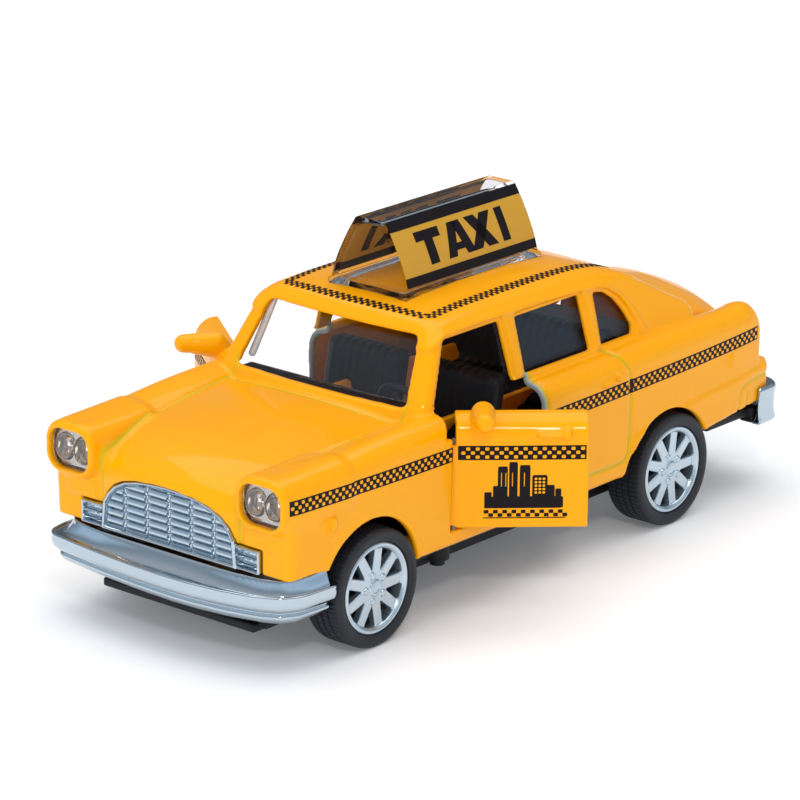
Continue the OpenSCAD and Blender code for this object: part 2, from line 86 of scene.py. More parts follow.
CABIN = [(24.4, 28), (24.2, 31.3), (17.4, 42.2), (15.4, 44.2), (8, 45.4), (-4, 46), (-14, 45.8), (-23, 44.8),
         (-29.5, 43.1), (-33.5, 41.5), (-37, 39.6), (-42, 36.8), (-48, 33.9), (-48, 28)]
CABIN_EDGE = [(20.95, 28), (20.8, 32), (20.3, 34), (18.2, 41.5), (17.3, 43.4), (15.3, 44.6), (8, 45.6)]
CABIN_HALF = CABIN_EDGE + [(0, 46)] + [(-y, z) for y, z in reversed(CABIN_EDGE)]
GUTTER = [(17.6, 40.6), (14.4, 42.3), (6, 42.5), (-10, 42.4), (-22, 41.9), (-25.4, 41.0), (-28.2, 39.2),
          (-30.4, 36.6), (-32.5, 32.8)]
REAR_DOOR_SEAM = [(-20.6, 32.4), (-22.6, 31.2), (-24, 29.2), (-24.35, 26.3), (-24.4, 20), (-24.4, 15.2),
                  (-23.6, 14.2), (-22, 13.9), (-3, 13.9)]
FLANK_CREASE = [(-25, 17.6), (-30, 18.4), (-41, 19.6), (-50, 20.1), (-58, 20.4), (-64, 20.6)]
BUMPER_RECESS = [(-54.5, 13.5), (-54.6, 16.4), (-55.2, 18), (-56.6, 18.7), (-60, 18.9), (-64, 18.9)]
WINDOW_FRONT = [(14.0, 41.3), (0.8, 41.3), (0.2, 28.5), (21.0, 28.5)]
WINDOW_REAR = [(-3.0, 41.1), (-18.7, 41.1), (-19.0, 32.6), (-2.9, 32.6)]
WINDOW_QUARTER = [(-22.3, 40.7), (-24.8, 40.3), (-27.1, 38.7), (-28.8, 36.6), (-30.1, 34.1), (-29.8, 32.8),
                  (-22.0, 32.7)]
WINDSCREEN = [(17.2, 32.3), (15.1, 42.1), (-15.1, 42.1), (-17.2, 32.3)]
BACKLIGHT = [(13.4, 36.2), (11.6, 41.4), (-11.6, 41.4), (-13.4, 36.2)]
SHELL_T = 1.2
SEAM_W = 0.26
POD = dict(y=19.3, z=26.55, half=(5.0, 4.2), r=3.3, nose=57.3)
LENS = dict(half=(4.0, 3.15), r=2.3)
ARCH_FRONT = (37.5, 9.9, 10.7)
ARCH_REAR = (-34.75, 8.35, 11.4)
DOOR = dict(front=17.8, rear=-2.3, low=14.0, high=31.7)
DOORWAY = dict(front=19.5, rear=-2.8, low=13.6, high=32.2)


# ---------- signed distances ----------

def along(points, at):
    """Height of a smooth line through points (place, height) at the places given."""
    points = sorted(points)
    place = np.array([p[0] for p in points], float)
    height = np.array([p[1] for p in points], float)
    slope = np.gradient(height, place)
    at = np.clip(np.asarray(at, np.float32), place[0], place[-1])
    i = np.clip(np.searchsorted(place, at) - 1, 0, len(place) - 2)
    width = place[i + 1] - place[i]
    t = (at - place[i]) / width
    level = ((1 + 2 * t) * (1 - t) ** 2 * height[i] + t * (1 - t) ** 2 * width * slope[i]
             + t * t * (3 - 2 * t) * height[i + 1] + t * t * (t - 1) * width * slope[i + 1])
    return level.astype(np.float32)


def rounded(points, r, steps=4):
    """A closed outline with its corners cut to curves that start r from each corner."""
    turned = []
    for before, corner, after in zip(points[-1:] + points[:-1], points, points[1:] + points[:1]):
        corner = np.array(corner, float)
        arms = [np.array(place, float) - corner for place in (before, after)]
        reach = min(r, *(np.linalg.norm(arm) / 2.2 for arm in arms))
        p, q = (corner + arm / np.linalg.norm(arm) * reach for arm in arms)
        turned += [tuple((1 - t) ** 2 * p + 2 * t * (1 - t) * corner + t * t * q)
                   for t in np.linspace(0, 1, steps + 1)]
    return turned


def outline(points, a, b, r=0, closed=True):
    """Distance in the (a, b) plane to an outline with corners rounded by r, negative inside a closed one."""
    if r:
        points = rounded(points, r)
    a, b = np.broadcast_arrays(a, b)
    nearest = np.full(a.shape, FAR * FAR, np.float32)
    inside = np.zeros(a.shape, bool)
    ends = points[1:] + points[:1] if closed else points[1:]
    for (a0, b0), (a1, b1) in zip(points, ends):
        da, db = a1 - a0, b1 - b0
        t = np.clip(((a - a0) * da + (b - b0) * db) / (da * da + db * db), 0, 1)
        nearest = np.minimum(nearest, (a - a0 - t * da) ** 2 + (b - b0 - t * db) ** 2)
        if closed and db:
            inside ^= ((b0 > b) != (b1 > b)) & (a < a0 + (b - b0) * da / db)
    return np.where(inside, -1, 1) * np.sqrt(nearest)


def both(a, b, r=0.0):
    """What two shapes share, with the edge between them rounded to r."""
    if r == 0:
        return np.maximum(a, b)
    return np.minimum(-r, np.maximum(a, b)) + np.hypot(np.maximum(a + r, 0), np.maximum(b + r, 0))


def either(a, b, r=0.0):
    """Two shapes joined, with a fillet of radius r."""
    return -both(-a, -b, r)


def without(a, b, r=0.0):
    return both(a, -b, r)


def box(x, y, z, low, high, r=0.0):
    """A box with edges rounded to r."""
    parts = [np.abs(v - (lo + hi) / 2) - (hi - lo) / 2 + r for v, lo, hi in zip((x, y, z), low, high)]
    outer = np.sqrt(sum(np.maximum(p, 0) ** 2 for p in parts))
    return outer + np.minimum(np.maximum(np.maximum(parts[0], parts[1]), parts[2]), 0) - r


def square(a, b, half, r):
    """A rounded rectangle round the origin of the (a, b) plane."""
    da, db = np.abs(a) - half[0] + r, np.abs(b) - half[1] + r
    return np.hypot(np.maximum(da, 0), np.maximum(db, 0)) + np.minimum(np.maximum(da, db), 0) - r


def capsule(x, y, z, a, b, ra, rb):
    """A rod from a to b whose radius runs from ra to rb."""
    d = [q - p for p, q in zip(a, b)]
    t = np.clip(((x - a[0]) * d[0] + (y - a[1]) * d[1] + (z - a[2]) * d[2]) / sum(q * q for q in d), 0, 1)
    return np.sqrt((x - a[0] - t * d[0]) ** 2 + (y - a[1] - t * d[1]) ** 2 + (z - a[2] - t * d[2]) ** 2) - (
        ra + (rb - ra) * t)


def ramp(v, width):
    """0 where v is under -width, 1 over width, smooth between."""
    t = np.clip(v / width / 2 + 0.5, 0, 1)
    return t * t * (3 - 2 * t)


# ---------- surfaces from signed distances ----------

CORNERS = [(i, j, k) for i in (0, 1) for j in (0, 1) for k in (0, 1)]


def sample(field, at):
    """Values of a grid at fractional grid places."""
    base = np.clip(np.floor(at).astype(int), 0, np.array(field.shape) - 2)
    part = at - base
    total = 0
    for c in CORNERS:
        weight = np.prod([part[:, n] if c[n] else 1 - part[:, n] for n in range(3)], axis=0)
        total = total + weight * field[tuple((base + c).T)]
    return total


def evaluate(shape, axes):
    """The grid of a signed distance function, worked out slab by slab."""
    x, y, z = axes[0][:, None, None], axes[1][None, :, None], axes[2][None, None, :]
    slabs = np.array_split(np.arange(len(axes[0])), max(1, len(axes[0]) // 6))

    def fill(slab):
        size = (len(slab), len(axes[1]), len(axes[2]))
        return np.array(np.broadcast_to(shape(x[slab], y, z), size), np.float32)

    with ThreadPoolExecutor(4) as pool:
        return np.concatenate(list(pool.map(fill, slabs)))


def surface_net(field):
    """Vertices in grid places and quads of the zero level of a grid, by naive surface nets."""
    inside = field < 0
    shape = tuple(n - 1 for n in field.shape)
    count = sum(inside[i:i + shape[0], j:j + shape[1], k:k + shape[2]].astype(np.int8) for i, j, k in CORNERS)
    cells = np.argwhere((count > 0) & (count < 8))
    number = np.full(shape, -1, np.int32)
    number[tuple(cells.T)] = np.arange(len(cells))
    values = [field[tuple((cells + c).T)] for c in CORNERS]
    total = np.zeros((len(cells), 3))
    hits = np.zeros(len(cells))
    for m, a in enumerate(CORNERS):
        for n, b in enumerate(CORNERS):
            if n <= m or sum(abs(p - q) for p, q in zip(a, b)) != 1:
                continue
            cross = (values[m] < 0) != (values[n] < 0)
            t = values[m][cross] / (values[m][cross] - values[n][cross])
            total[cross] += np.array(a) + t[:, None] * (np.array(b) - np.array(a))
            hits[cross] += 1
    quads, step = [], np.eye(3, dtype=int)
    for axis in range(3):
        u, v = (axis + 1) % 3, (axis + 2) % 3
        at = np.argwhere(np.diff(inside, axis=axis))
        at = at[(at[:, u] > 0) & (at[:, v] > 0) & (at[:, u] < shape[u]) & (at[:, v] < shape[v])]
        ring = np.stack([number[tuple((at - du * step[u] - dv * step[v]).T)]
                         for du, dv in ((1, 1), (0, 1), (0, 0), (1, 0))], 1)
        inward = ~inside[tuple(at.T)]
        ring[inward] = ring[inward][:, ::-1]
        quads.append(ring)
    return cells + total / hits[:, None], np.concatenate(quads)


def mesh_object(name, points, faces, material, normals=None, seam=None, sharp=False):
    """A Blender object from points in millimetres. seam is a value per point for the material."""
    mesh = bpy.data.meshes.new(name)
    mesh.vertices.add(len(points))
    mesh.vertices.foreach_set("co", (np.asarray(points, float) * MM).ravel())
    sizes = np.array([len(f) for f in faces])
    corners = np.concatenate(faces).astype(np.int32)
    mesh.loops.add(len(corners))
    mesh.loops.foreach_set("vertex_index", corners)
    mesh.polygons.add(len(sizes))
    mesh.polygons.foreach_set("loop_start", (np.cumsum(sizes) - sizes).astype(np.int32))
    mesh.update(calc_edges=True)
    mesh.validate()
    if seam is not None:
        mesh.attributes.new("seam", "FLOAT", "POINT").data.foreach_set("value", np.asarray(seam, np.float32))
    if sharp:
        mesh.shade_flat()
    else:
        mesh.shade_smooth()
    if normals is not None:
        mesh.normals_split_custom_set_from_vertices(normals)
    mesh.materials.append(material)
    obj = bpy.data.objects.new(name, mesh)
    bpy.context.collection.objects.link(obj)
    return obj


def thinned(points, quads, share):
    """The mesh with only that share of its triangles."""
    scratch = mesh_object("scratch", points, quads, None)
    scratch.modifiers.new("thin", "DECIMATE").ratio = share
    mesh = scratch.evaluated_get(bpy.context.evaluated_depsgraph_get()).to_mesh()
    found = np.empty(len(mesh.vertices) * 3)
    mesh.vertices.foreach_get("co", found)
    mesh.calc_loop_triangles()
    corners = np.empty(len(mesh.loop_triangles) * 3, np.int32)
    mesh.loop_triangles.foreach_get("vertices", corners)
    bpy.data.objects.remove(scratch)
    return found.reshape(-1, 3) / MM, corners.reshape(-1, 3)


def sculpt(name, shape, low, high, pitch, material, mirrored=False, share=1.0, mark=None, move=None,
           flip=False):
    """A piece from a signed distance function of (x, y, z). mirrored works out the +Y half only.
    mark(x, y, z) gives each point's "seam" value. move changes the finished points."""
    axes = [np.arange(lo, hi + pitch, pitch, dtype=np.float32) for lo, hi in zip(low, high)]
    if mirrored:
        axes[1] = np.arange(0, high[1] + pitch, pitch, dtype=np.float32)
    field = evaluate(shape, axes)
    if mirrored:
        field = np.concatenate([field[:, :0:-1], field], axis=1)
        axes[1] = np.concatenate([-axes[1][:0:-1], axes[1]])
    origin = np.array([a[0] for a in axes], float)
    places, quads = surface_net(field)
    if share < 1:
        points, quads = thinned(places * pitch + origin, quads, share)
        places = (points - origin) / pitch
    slopes = [s.astype(np.float32) for s in np.gradient(field, pitch)]
    for _ in range(2):
        value = sample(field, places)
        slope = np.stack([sample(s, places) for s in slopes], 1)
        size = np.maximum((slope ** 2).sum(1), 0.3)
        places = places - np.clip(value / size, -0.4 * pitch, 0.4 * pitch)[:, None] * slope / pitch
    slope = np.stack([sample(s, places) for s in slopes], 1)
    normals = slope / np.maximum(np.linalg.norm(slope, axis=1), 1e-6)[:, None]
    points = places * pitch + origin
    seam = mark(*points.T) if mark else None
    if move:
        points, normals = move(points, normals)
    if flip:
        quads = quads[:, ::-1]
    return mesh_object(name, points, quads, material, normals, seam)


def add(piece, nodes, body="body"):
    """Puts a finished piece on its body in place of CAD nodes."""
    if nodes:
        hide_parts(*nodes)
    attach(piece, body)


# ---------- the car's outer form ----------

def body_form(x, y, z):
    """The painted body as a block that goes on below its lower edge, before its hollow and openings."""
    y = np.abs(y)
    crease = along(FLANK_CREASE, x) - z
    proud = 0.36 * ramp(crease, 0.5) * ramp(-25.2 - x, 0.4)
    tuck = 0.0035 * np.clip(26.5 - z, 0, None) ** 1.8
    side = y - (along(PLAN, x) - tuck + proud)
    dip = 0.055 + 0.03 * ramp(-34 - x, 8)
    ridge = z - along(RIDGE, x) + dip * np.clip(21.6 - y, 0, None) ** 2
    waist = both(side, ridge * 0.97, 3.6)
    ends = outline(ENDS, x, z)
    waist = both(waist, ends, 1.15)
    bow = x + 0.0085 * y * y
    nose = outline(HOOD, bow, z + 0.0038 * y * y, 1.5)
    hood = both(nose, y - along(HOOD_HALF, x), 0.5)
    form = either(waist, hood, 0.6)
    deck = outline(TRUNK, x - 0.004 * y * y, z + 0.0145 * y * y, 1.2)
    form = either(form, both(deck, y - along(TRUNK_HALF, x), 0.6), 0.5)
    pod = square(y - POD["y"], z - POD["z"], POD["half"], POD["r"])
    pod = both(pod, both(x - POD["nose"], 42 - x), 1.3)
    form = either(form, pod, 1.3)
    pillars = x + 0.0042 * y * y * np.tanh(x / 12)
    roof = outline(CABIN, pillars, z, 2.5)
    section = outline(CABIN_HALF, y, z, 1.5)
    return either(form, both(roof, section, 1.4), 0.5)


def seams(x, y, z):
    """How deep each place lies in a panel seam, from 0 to 1, and up to 2 on a strip along each doorway's rear
    edge, which the paint colours grey.
    """
    y = np.abs(y)
    hood_side = np.where(x > 21.2, y - along(HOOD_HALF, x) - 0.1, FAR)
    cowl = x + 0.0042 * y * y - 25.2
    trunk_side = np.where(x < -33.5, y - along(TRUNK_HALF, x) - 0.15, FAR)
    rear_door = outline(REAR_DOOR_SEAM, x, z, closed=False)
    corner = np.minimum(outline(BUMPER_RECESS, x, z, closed=False),
                        outline([(-57.1, 14.2), (-57.1, 17.2)], x, z, closed=False))
    total = 0
    for line, depth, where in ((hood_side, 1, z > 18), (cowl, 1, (y < 17.3) & (z > 25)),
                               (trunk_side, 1, z > 20), (rear_door, 1, (y > 17) & (z < 32.4)),
                               (corner, 0.8, y > 20)):
        total = np.maximum(total, depth * np.exp(-(line / SEAM_W) ** 2) * where)
    # A strip along each doorway's rear edge, coloured grey where the value is over 1.
    grey_strip = both(np.abs(x - DOORWAY["rear"]) - 0.6, np.abs(z - 26) - 7)
    return np.maximum(total, 2.0 * ramp(-grey_strip, 0.5) * (y > 19.5))


def trim_relief(x, y, z):
    """Height of the cast details above the body: the drip rail and the wheel arch lips."""
    y = np.abs(y)
    side = y > 14
    rail = np.exp(-(outline(GUTTER, x, z, closed=False) / 0.38) ** 2) * 0.5 * side
    for cx, cz, r in (ARCH_FRONT, ARCH_REAR):
        lip = np.hypot(x - cx, z - cz) - r - 0.35
        rail = np.maximum(rail, 0.12 * np.exp(-(lip / 0.42) ** 2) * side)
    return rail


FITTINGS = [((46.1, 23, 21.5), (47.6, 25.1, 23.3), 0.35), ((46.5, 23, 20.5), (47.2, 24.8, 22), 0.3),
            ((-52.4, 22, 23.6), (-51.3, 24.15, 24.9), 0.35), ((-52.2, 22, 22.4), (-51.5, 24.0, 24), 0.3),
            ((-20, 23, 27.7), (-16.7, 25.1, 28.35), 0.3), ((54, 14.9, 19.2), (55.65, 21, 21.9), 0.3)]


def fittings(x, y, z):
    """Marker lamps, the rear door's handle and the panels under the headlight pods, as solids."""
    y = np.abs(y)
    total = capsule(x, y, z, (-20.7, 23, 28.7), (-20.7, 24.7, 28.7), 0.75, 0.7)
    for low, high, r in FITTINGS:
        total = np.minimum(total, box(x, y, z, low, high, r))
    return total


def side_windows(x, z, grow=0.0):
    behind = np.minimum(outline(WINDOW_REAR, x, z, 0.4), outline(WINDOW_QUARTER, x, z, 0.4))
    return np.minimum(behind, outline(WINDOW_FRONT, x, z, 0.5)) - grow


def body_outside(x, y, z, block):
    """The closed form with its relief and seams."""
    form = both(block, along(FLOOR, x) - z, 0.25)
    form = form - trim_relief(x, y, z) + 0.3 * np.minimum(seams(x, y, z), 1)
    form = either(form, fittings(x, y, z), 0.25)
    a = np.abs(y)
    frames = both(side_windows(x, z, 0.75), both(32.6 - z, 14 - a))
    recess = both(frames, -(block + 0.38))
    return without(form, recess, 0.15)


def body_shell(x, y, z):
    """The painted shell: the closed form with its hollow, windows, doorways, wheel arches and lamp places."""
    a = np.abs(y)
    block = body_form(x, y, z)
    hollow = either(block + SHELL_T, box(x, a, z, (-44, -1, 26), (21.5, 19.6, 32.6)), 0.3)
    screen = outline(WINDSCREEN, a, z, 1.3)
    back = outline(BACKLIGHT, a, z, 1.3)
    doorway = box(x, a, z, (DOORWAY["rear"], 19.3, DOORWAY["low"]),
                           (DOORWAY["front"], 40, DOORWAY["high"]))
    arches = [(both(np.hypot(x - cx, z - cz) - r, 13 - a), 0.3) for cx, cz, r in (ARCH_FRONT, ARCH_REAR)]
    lens = square(a - POD["y"], z - LAMP_Z, LENS["half"], LENS["r"])
    tail = box(x, a, z, (-63, 18.4, 22.6), (-58, 21.8, 28.2), 0.6)
    shell = body_outside(x, y, z, block)
    for opening, r in [(hollow, 0.2), (both(side_windows(x, z), 12 - a), 0.25), (both(screen, 12 - x), 0.25),
                       (both(back, x + 28), 0.25), (doorway, 0.2), *arches, (both(lens, 50 - x), 0.35),
                       (both(grille_form(a, z) - 0.1, 52 - x), 0.15), (tail, 0.2)]:
        shell = without(shell, opening, r)
    return shell


def grille_form(y, z):
    """Outline of the grille: an arch with a short wing each side."""
    arch = outline(GRILLE_ARCH, y, z)
    wing = np.maximum(np.abs(y) - 18.1, np.abs(z - 17) - 1.9)
    return np.minimum(arch, wing)


LAMP_Z = POD["z"] - 0.12
GRILLE_HALF = [(15.1, 13.7), (19.5, 13.3), (21.2, 12.3), (22.6, 10.9), (23.7, 8.8), (24.4, 6.0), (24.75, 2.5)]
GRILLE_ARCH = [(w, z) for z, w in GRILLE_HALF] + [(0, 24.85)] + [(-w, z) for z, w in reversed(GRILLE_HALF)]


# ---------- materials ----------

def feed(tree, node, inputs):
    """Sets inputs of a node to constants, or links them where the value is a socket."""
    for key, value in inputs.items():
        socket = node.inputs[key if isinstance(key, int) else key.replace("_", " ")]
        if isinstance(value, bpy.types.NodeSocket):
            tree.links.new(value, socket)
        else:
            socket.default_value = value


def shader_node(tree, kind, inputs, **settings):
    """A new shader node with its settings and inputs."""
    node = tree.nodes.new("ShaderNode" + kind)
    for key, value in settings.items():
        setattr(node, key, value)
    feed(tree, node, inputs)
    return node


def colour_mix(tree, factor, first, second, mode="MIX"):
    """The colour between two colours, by a factor."""
    mix = shader_node(tree, "Mix", {0: factor, 6: first, 7: second}, data_type="RGBA", blend_type=mode)
    return mix.outputs[2]


def node_material(name, base, roughness, metallic=0.0, coat=0.0, speck=0.03, scale=900.0, bump=0.02,
                  **sockets):
    """A Principled material whose colour and roughness vary gently and whose surface is slightly uneven."""
    material = bpy.data.materials.new(name)
    material.use_nodes = True
    tree = material.node_tree
    place = shader_node(tree, "TexCoord", {}).outputs["Object"]
    grain = shader_node(tree, "TexNoise", dict(Vector=place, Scale=scale, Detail=4)).outputs["Fac"]
    dull, bright = (tuple(min(1, c * part) for c in base) + (1,) for part in (1 - speck, 1 + speck))
    gloss = shader_node(tree, "MapRange", dict(Value=grain, To_Min=roughness * 0.85, To_Max=roughness * 1.15))
    relief = shader_node(tree, "Bump", dict(Height=grain, Strength=bump, Distance=0.0002))
    feed(tree, tree.nodes["Principled BSDF"], dict(
        Base_Color=colour_mix(tree, grain, dull, bright), Roughness=gloss.outputs["Result"],
        Normal=relief.outputs["Normal"], Metallic=metallic, Coat_Weight=coat, Coat_Roughness=0.06, **sockets))
    return material


def paint_material():
    """Yellow enamel, olive along panel seams as thin paint with a painted reflection, and grey where seam is
    over 1.
    """
    material = node_material("yellow_enamel", (0.96, 0.385, 0.001), 0.34, coat=0.35, speck=0.02, scale=700,
                             bump=0.015, Specular_IOR_Level=0.12, Specular_Tint=(1.0, 0.62, 0.05, 1))
    tree = material.node_tree
    shader = tree.nodes["Principled BSDF"]
    full = shader.inputs["Base Color"].links[0].from_socket
    seam = shader_node(tree, "Attribute", {}, attribute_name="seam").outputs["Fac"]
    # Olive along the seams: thin paint, with a painted reflection in the seam.
    thin = colour_mix(tree, seam, full, (0.60, 0.44, 0.01, 1))
    # Grey on the doorway strip, where seam is over 1.
    grey_strip = shader_node(tree, "Math", {0: seam, 1: 1.0}, operation="SUBTRACT", use_clamp=True).outputs[0]
    tree.links.new(colour_mix(tree, grey_strip, thin, (0.34, 0.38, 0.37, 1)), shader.inputs["Base Color"])
    return material


PAINT = paint_material()
CHROME = node_material("vacuum_chrome", (0.49, 0.57, 0.63), 0.08, metallic=1.0, speck=0.01, bump=0.01)
BLACK = node_material("black_moulding", (0.010, 0.010, 0.012), 0.5, speck=0.2, scale=1500, bump=0.08,
                      Specular_IOR_Level=0.25)
RUBBER = node_material("tyre_rubber", (0.012, 0.014, 0.018), 0.5, speck=0.15, scale=1200, bump=0.1,
                       Specular_IOR_Level=0.35)
SILVER = node_material("silver_plastic", (0.51, 0.60, 0.67), 0.22, metallic=0.85, speck=0.03, bump=0.02)
INK = node_material("black_ink", (0.007, 0.004, 0.005), 0.5, speck=0.2, scale=2500, bump=0.02,
                    Specular_IOR_Level=0.15)
STEEL = node_material("bright_steel", (0.50, 0.52, 0.55), 0.3, metallic=1.0, speck=0.05, scale=2000,
                      bump=0.05)
GREY = node_material("grey_moulding", (0.20, 0.20, 0.21), 0.45, speck=0.1, bump=0.06)
IVORY = node_material("ivory_acetal", (0.80, 0.78, 0.70), 0.4, speck=0.04, bump=0.03)
RED = node_material("red_lens", (0.55, 0.02, 0.015), 0.12, coat=0.6, speck=0.08, bump=0.03)
LAMP = node_material("lamp_silver", (0.50, 0.46, 0.41), 0.1, metallic=1.0, speck=0.04, bump=0.01)
LENS_GLASS = node_material("clear_lens", (0.96, 0.97, 0.98), 0.02, speck=0.005, bump=0.005,
                           Transmission_Weight=1.0, IOR=1.35)
SIGN_GLASS = node_material("clear_sign", (0.97, 0.96, 0.95), 0.04, speck=0.01, bump=0.005,
                           Transmission_Weight=1.0, IOR=1.14)
OCHRE = node_material("ochre_film", (0.58, 0.30, 0.025), 0.4, speck=0.03, scale=1500, bump=0.02,
                      Specular_IOR_Level=0.3)
GLASS = node_material("clear_glazing", (0.50, 0.55, 0.60), 0.04, metallic=1.0, speck=0.01, bump=0.005,
                      Alpha=0.045)
# White for the glazing's edge in the windscreen pillars: a painted highlight.
PILLAR_GLINT = node_material("pillar_glint_white", (0.85, 0.85, 0.83), 0.3, speck=0.03, bump=0.02)

# ---------- the body ----------

add(sculpt("body", body_shell, (-64, -26, 8), (60, 26, 47.5), 0.3, PAINT, mirrored=True, share=0.5,
           mark=seams), ["body_shell"])

# ---------- doors ----------

MIRROR_X = DOOR["front"] - 4.1
BARREL_R = 1.15
PIN_HOLE_R = 0.4


def door_form(x, y, z):
    """The left door, closed: a skin of the body with its mirror, handle and hinge barrel."""
    block = body_form(x, y, z)
    edges = box(x, y, z, (DOOR["rear"], 20.7, DOOR["low"]), (DOOR["front"], 40, DOOR["high"]), 0.3)
    skin = both(without(block, block + SHELL_T), edges, 0.3)
    from_pin = np.hypot(x - HINGE[0], y - HINGE[1])
    barrel = both(from_pin - BARREL_R, np.abs(z - 20.8) - 6.4, 0.2)
    form = either(skin, both(barrel, block), 0.2)
    mirror = either(capsule(x, y, z, (MIRROR_X, 24, 32.1), (MIRROR_X, 29.1, 32.3), 1.85, 1.45),
                    capsule(x, y, z, (MIRROR_X, 23, 31), (MIRROR_X, 26.6, 31.9), 1.7, 1.3), 0.8)
    form = either(form, without(mirror, block + 0.4), 0.35)
    form = either(form, box(x, y, z, (1.6, 23, 28.55), (5.5, 25.35, 29.2), 0.3), 0.3)
    form = either(form, capsule(x, y, z, (1.1, 23, 28.9), (1.1, 24.9, 28.9), 0.9, 0.8), 0.3)
    return without(form, from_pin - PIN_HOLE_R)


def hung(side):
    """How the closed left door's shapes come to lie on the open door of that side, about its pin."""
    pin = np.array([HINGE[0], HINGE[1], 0])
    c, s = math.cos(math.radians(OPEN_ANGLE[side])), math.sin(math.radians(OPEN_ANGLE[side]))

    def turned(v):
        return np.stack([v[:, 0] * c + v[:, 1] * s, (-v[:, 0] * s + v[:, 1] * c) * side, v[:, 2]], 1)

    def move(points, normals):
        return turned(points - pin) + pin * (1, side, 1), turned(normals)
    return dict(move=move, flip=side < 0)


def card_form(x, y, z):
    """The black door lining, with rounded corners and an armrest."""
    a = outline([(-0.8, 15.4), (15.6, 15.4), (15.6, 30.8), (-0.8, 30.8)], x, z, 2.6)
    slab = both(a, both(body_form(x, y, z) + SHELL_T - 0.02, 20.95 - y), 0.35)
    rest = box(x, y, z, (2, 20.75, 21.6), (12.5, 22.6, 23), 0.5)
    return either(slab, rest, 0.3)


SIDES = {1: "left", -1: "right"}
for side, word in SIDES.items():
    body = word + "_door"
    add(sculpt(body + "_skin", door_form, (-3, 20, 13.4), (20, 31, 34.8), 0.18, PAINT, **hung(side)), [body],
        body)
    add(sculpt(body + "_lining", card_form, (-2, 20.4, 14.6), (17, 24.6, 31.4), 0.3, BLACK, **hung(side)),
        [body + "_card"], body)

# ---------- printed trim ----------

STRIPE_TOP = [(-60, 27.75), (-30, 27.45), (0, 27.2), (20, 27.25), (40, 27.6), (57, 28.1)]
STRIPE_H = 2.25
CELL = 0.72
STRIPE_ROWS = 3
STRIPE_EDGE = 0.17
PRINT_START = 27.5
INK_LIFT = 0.03
DOT_LIFT = 0.055
FALL_STEPS = 14


def fall(form, u, v, axis, start, lift):
    """Where a line along axis from the start meets the surface raised by lift."""
    w = np.full(np.shape(u), start, float)
    for _ in range(FALL_STEPS):
        at = (u, w, v) if axis == 1 else (u, v, w)
        w = w - np.clip(form(*at) - lift, -1, 1.5) * 0.95
    return w


class Print:
    """Flat inked patches that lie on a surface: each is a thin closed prism."""

    def __init__(self, form, axis, start, high, low=-0.06):
        self.form, self.axis, self.start, self.lifts = form, axis, start, (high, low)
        self.places, self.patches = [], []

    def patch(self, corners):
        """A convex patch from its corners, counter-clockwise seen from outside."""
        ring = [len(self.places) + i for i in range(len(corners))]
        self.places += corners
        self.patches.append(([ring], ring))

    def strip(self, grid):
        """A long patch from a grid of places, rows along its length."""
        at = np.arange(len(grid) * len(grid[0])).reshape(len(grid), -1) + len(self.places)
        self.places += [place for row in grid for place in row]
        quads = [[p[0], p[1], q[1], q[0]] for row, after in zip(at, at[1:])
                 for p, q in zip(zip(row, row[1:]), zip(after, after[1:]))]
        self.patches.append((quads, [*at[0], *at[1:, -1], *at[-1, -2::-1], *at[-2:0:-1, 0]]))

    def build(self, name, material, move=None, flip=False):
        u, v = np.array(self.places).T
        levels = []
        for lift in self.lifts:
            w = fall(self.form, u, v, self.axis, self.start, lift)
            levels.append(np.stack((u, w, v) if self.axis == 1 else (u, v, w), 1))
        points = np.concatenate(levels)
        faces = []
        for tops, ring in self.patches:
            for top in tops:
                faces += [top, [len(u) + i for i in reversed(top)]]
            faces += [[a, a + len(u), b + len(u), b] for a, b in zip(ring, ring[1:] + ring[:1])]
        if move:
            points, _ = move(points, points)
        if flip != (self.axis == 1):
            faces = [f[::-1] for f in faces]
        return mesh_object(name, points, faces, material, sharp=True)


def pillow(u, v, half_u, half_v, corner=0.35):
    """A small rectangle with cut corners, as eight points."""
    k = 1 - corner
    octagon = ((1, -k), (1, k), (k, 1), (-k, 1), (-1, k), (-1, -k), (-k, -1), (k, -1))
    return [(u + half_u * p, v + half_v * q) for p, q in octagon]


def side_stripe(form, start, end):
    """The checker stripe along the flank: a black band and its rows of yellow squares."""
    band = Print(form, 1, PRINT_START, INK_LIFT)
    columns = max(4, int((end - start) / CELL) + 1)
    xs = np.linspace(start, end, columns)
    top = along(STRIPE_TOP, xs)
    levels = range(STRIPE_ROWS + 1)
    band.strip([[(x, t - STRIPE_H * k / STRIPE_ROWS) for k in levels] for x, t in zip(xs, top)])
    dots = Print(form, 1, PRINT_START, DOT_LIFT)
    row_h = (STRIPE_H - 2 * STRIPE_EDGE) / STRIPE_ROWS
    for row in range(STRIPE_ROWS):
        x = start + CELL * (0.75 + (row % 2))
        while x < end - 0.35:
            z = float(along(STRIPE_TOP, x)) - STRIPE_EDGE - row_h * (row + 0.5)
            dots.patch(pillow(x, z, 0.30, row_h * 0.40))
            x += 2 * CELL
    return band, dots


def mirrored(side):
    """How the left side's shapes come to lie on that side of the body."""
    def move(points, normals):
        return points * (1, side, 1), normals * (1, side, 1)
    return dict(move=move, flip=side < 0)


def printed(name, body, placing, ink, squares=None):
    """The black and the yellow layer of a print, on their body."""
    add(ink.build(name + "_ink", INK, **placing), None, body)
    if squares:
        add(squares.build(name + "_squares", PAINT, **placing), None, body)


def body_skin(x, y, z):
    return body_outside(x, y, z, body_form(x, y, z))


for side, word in SIDES.items():
    for part, start, end in (("front", DOORWAY["front"] + 0.15, 56.0),
                             ("rear", -59.7, DOORWAY["rear"] - 0.15)):
        printed(f"{word}_{part}_stripe", "body", mirrored(side), *side_stripe(body_skin, start, end))
    printed(word + "_door_stripe", word + "_door", hung(side),
            *side_stripe(door_form, DOOR["rear"] + 0.4, DOOR["front"] - 0.35))

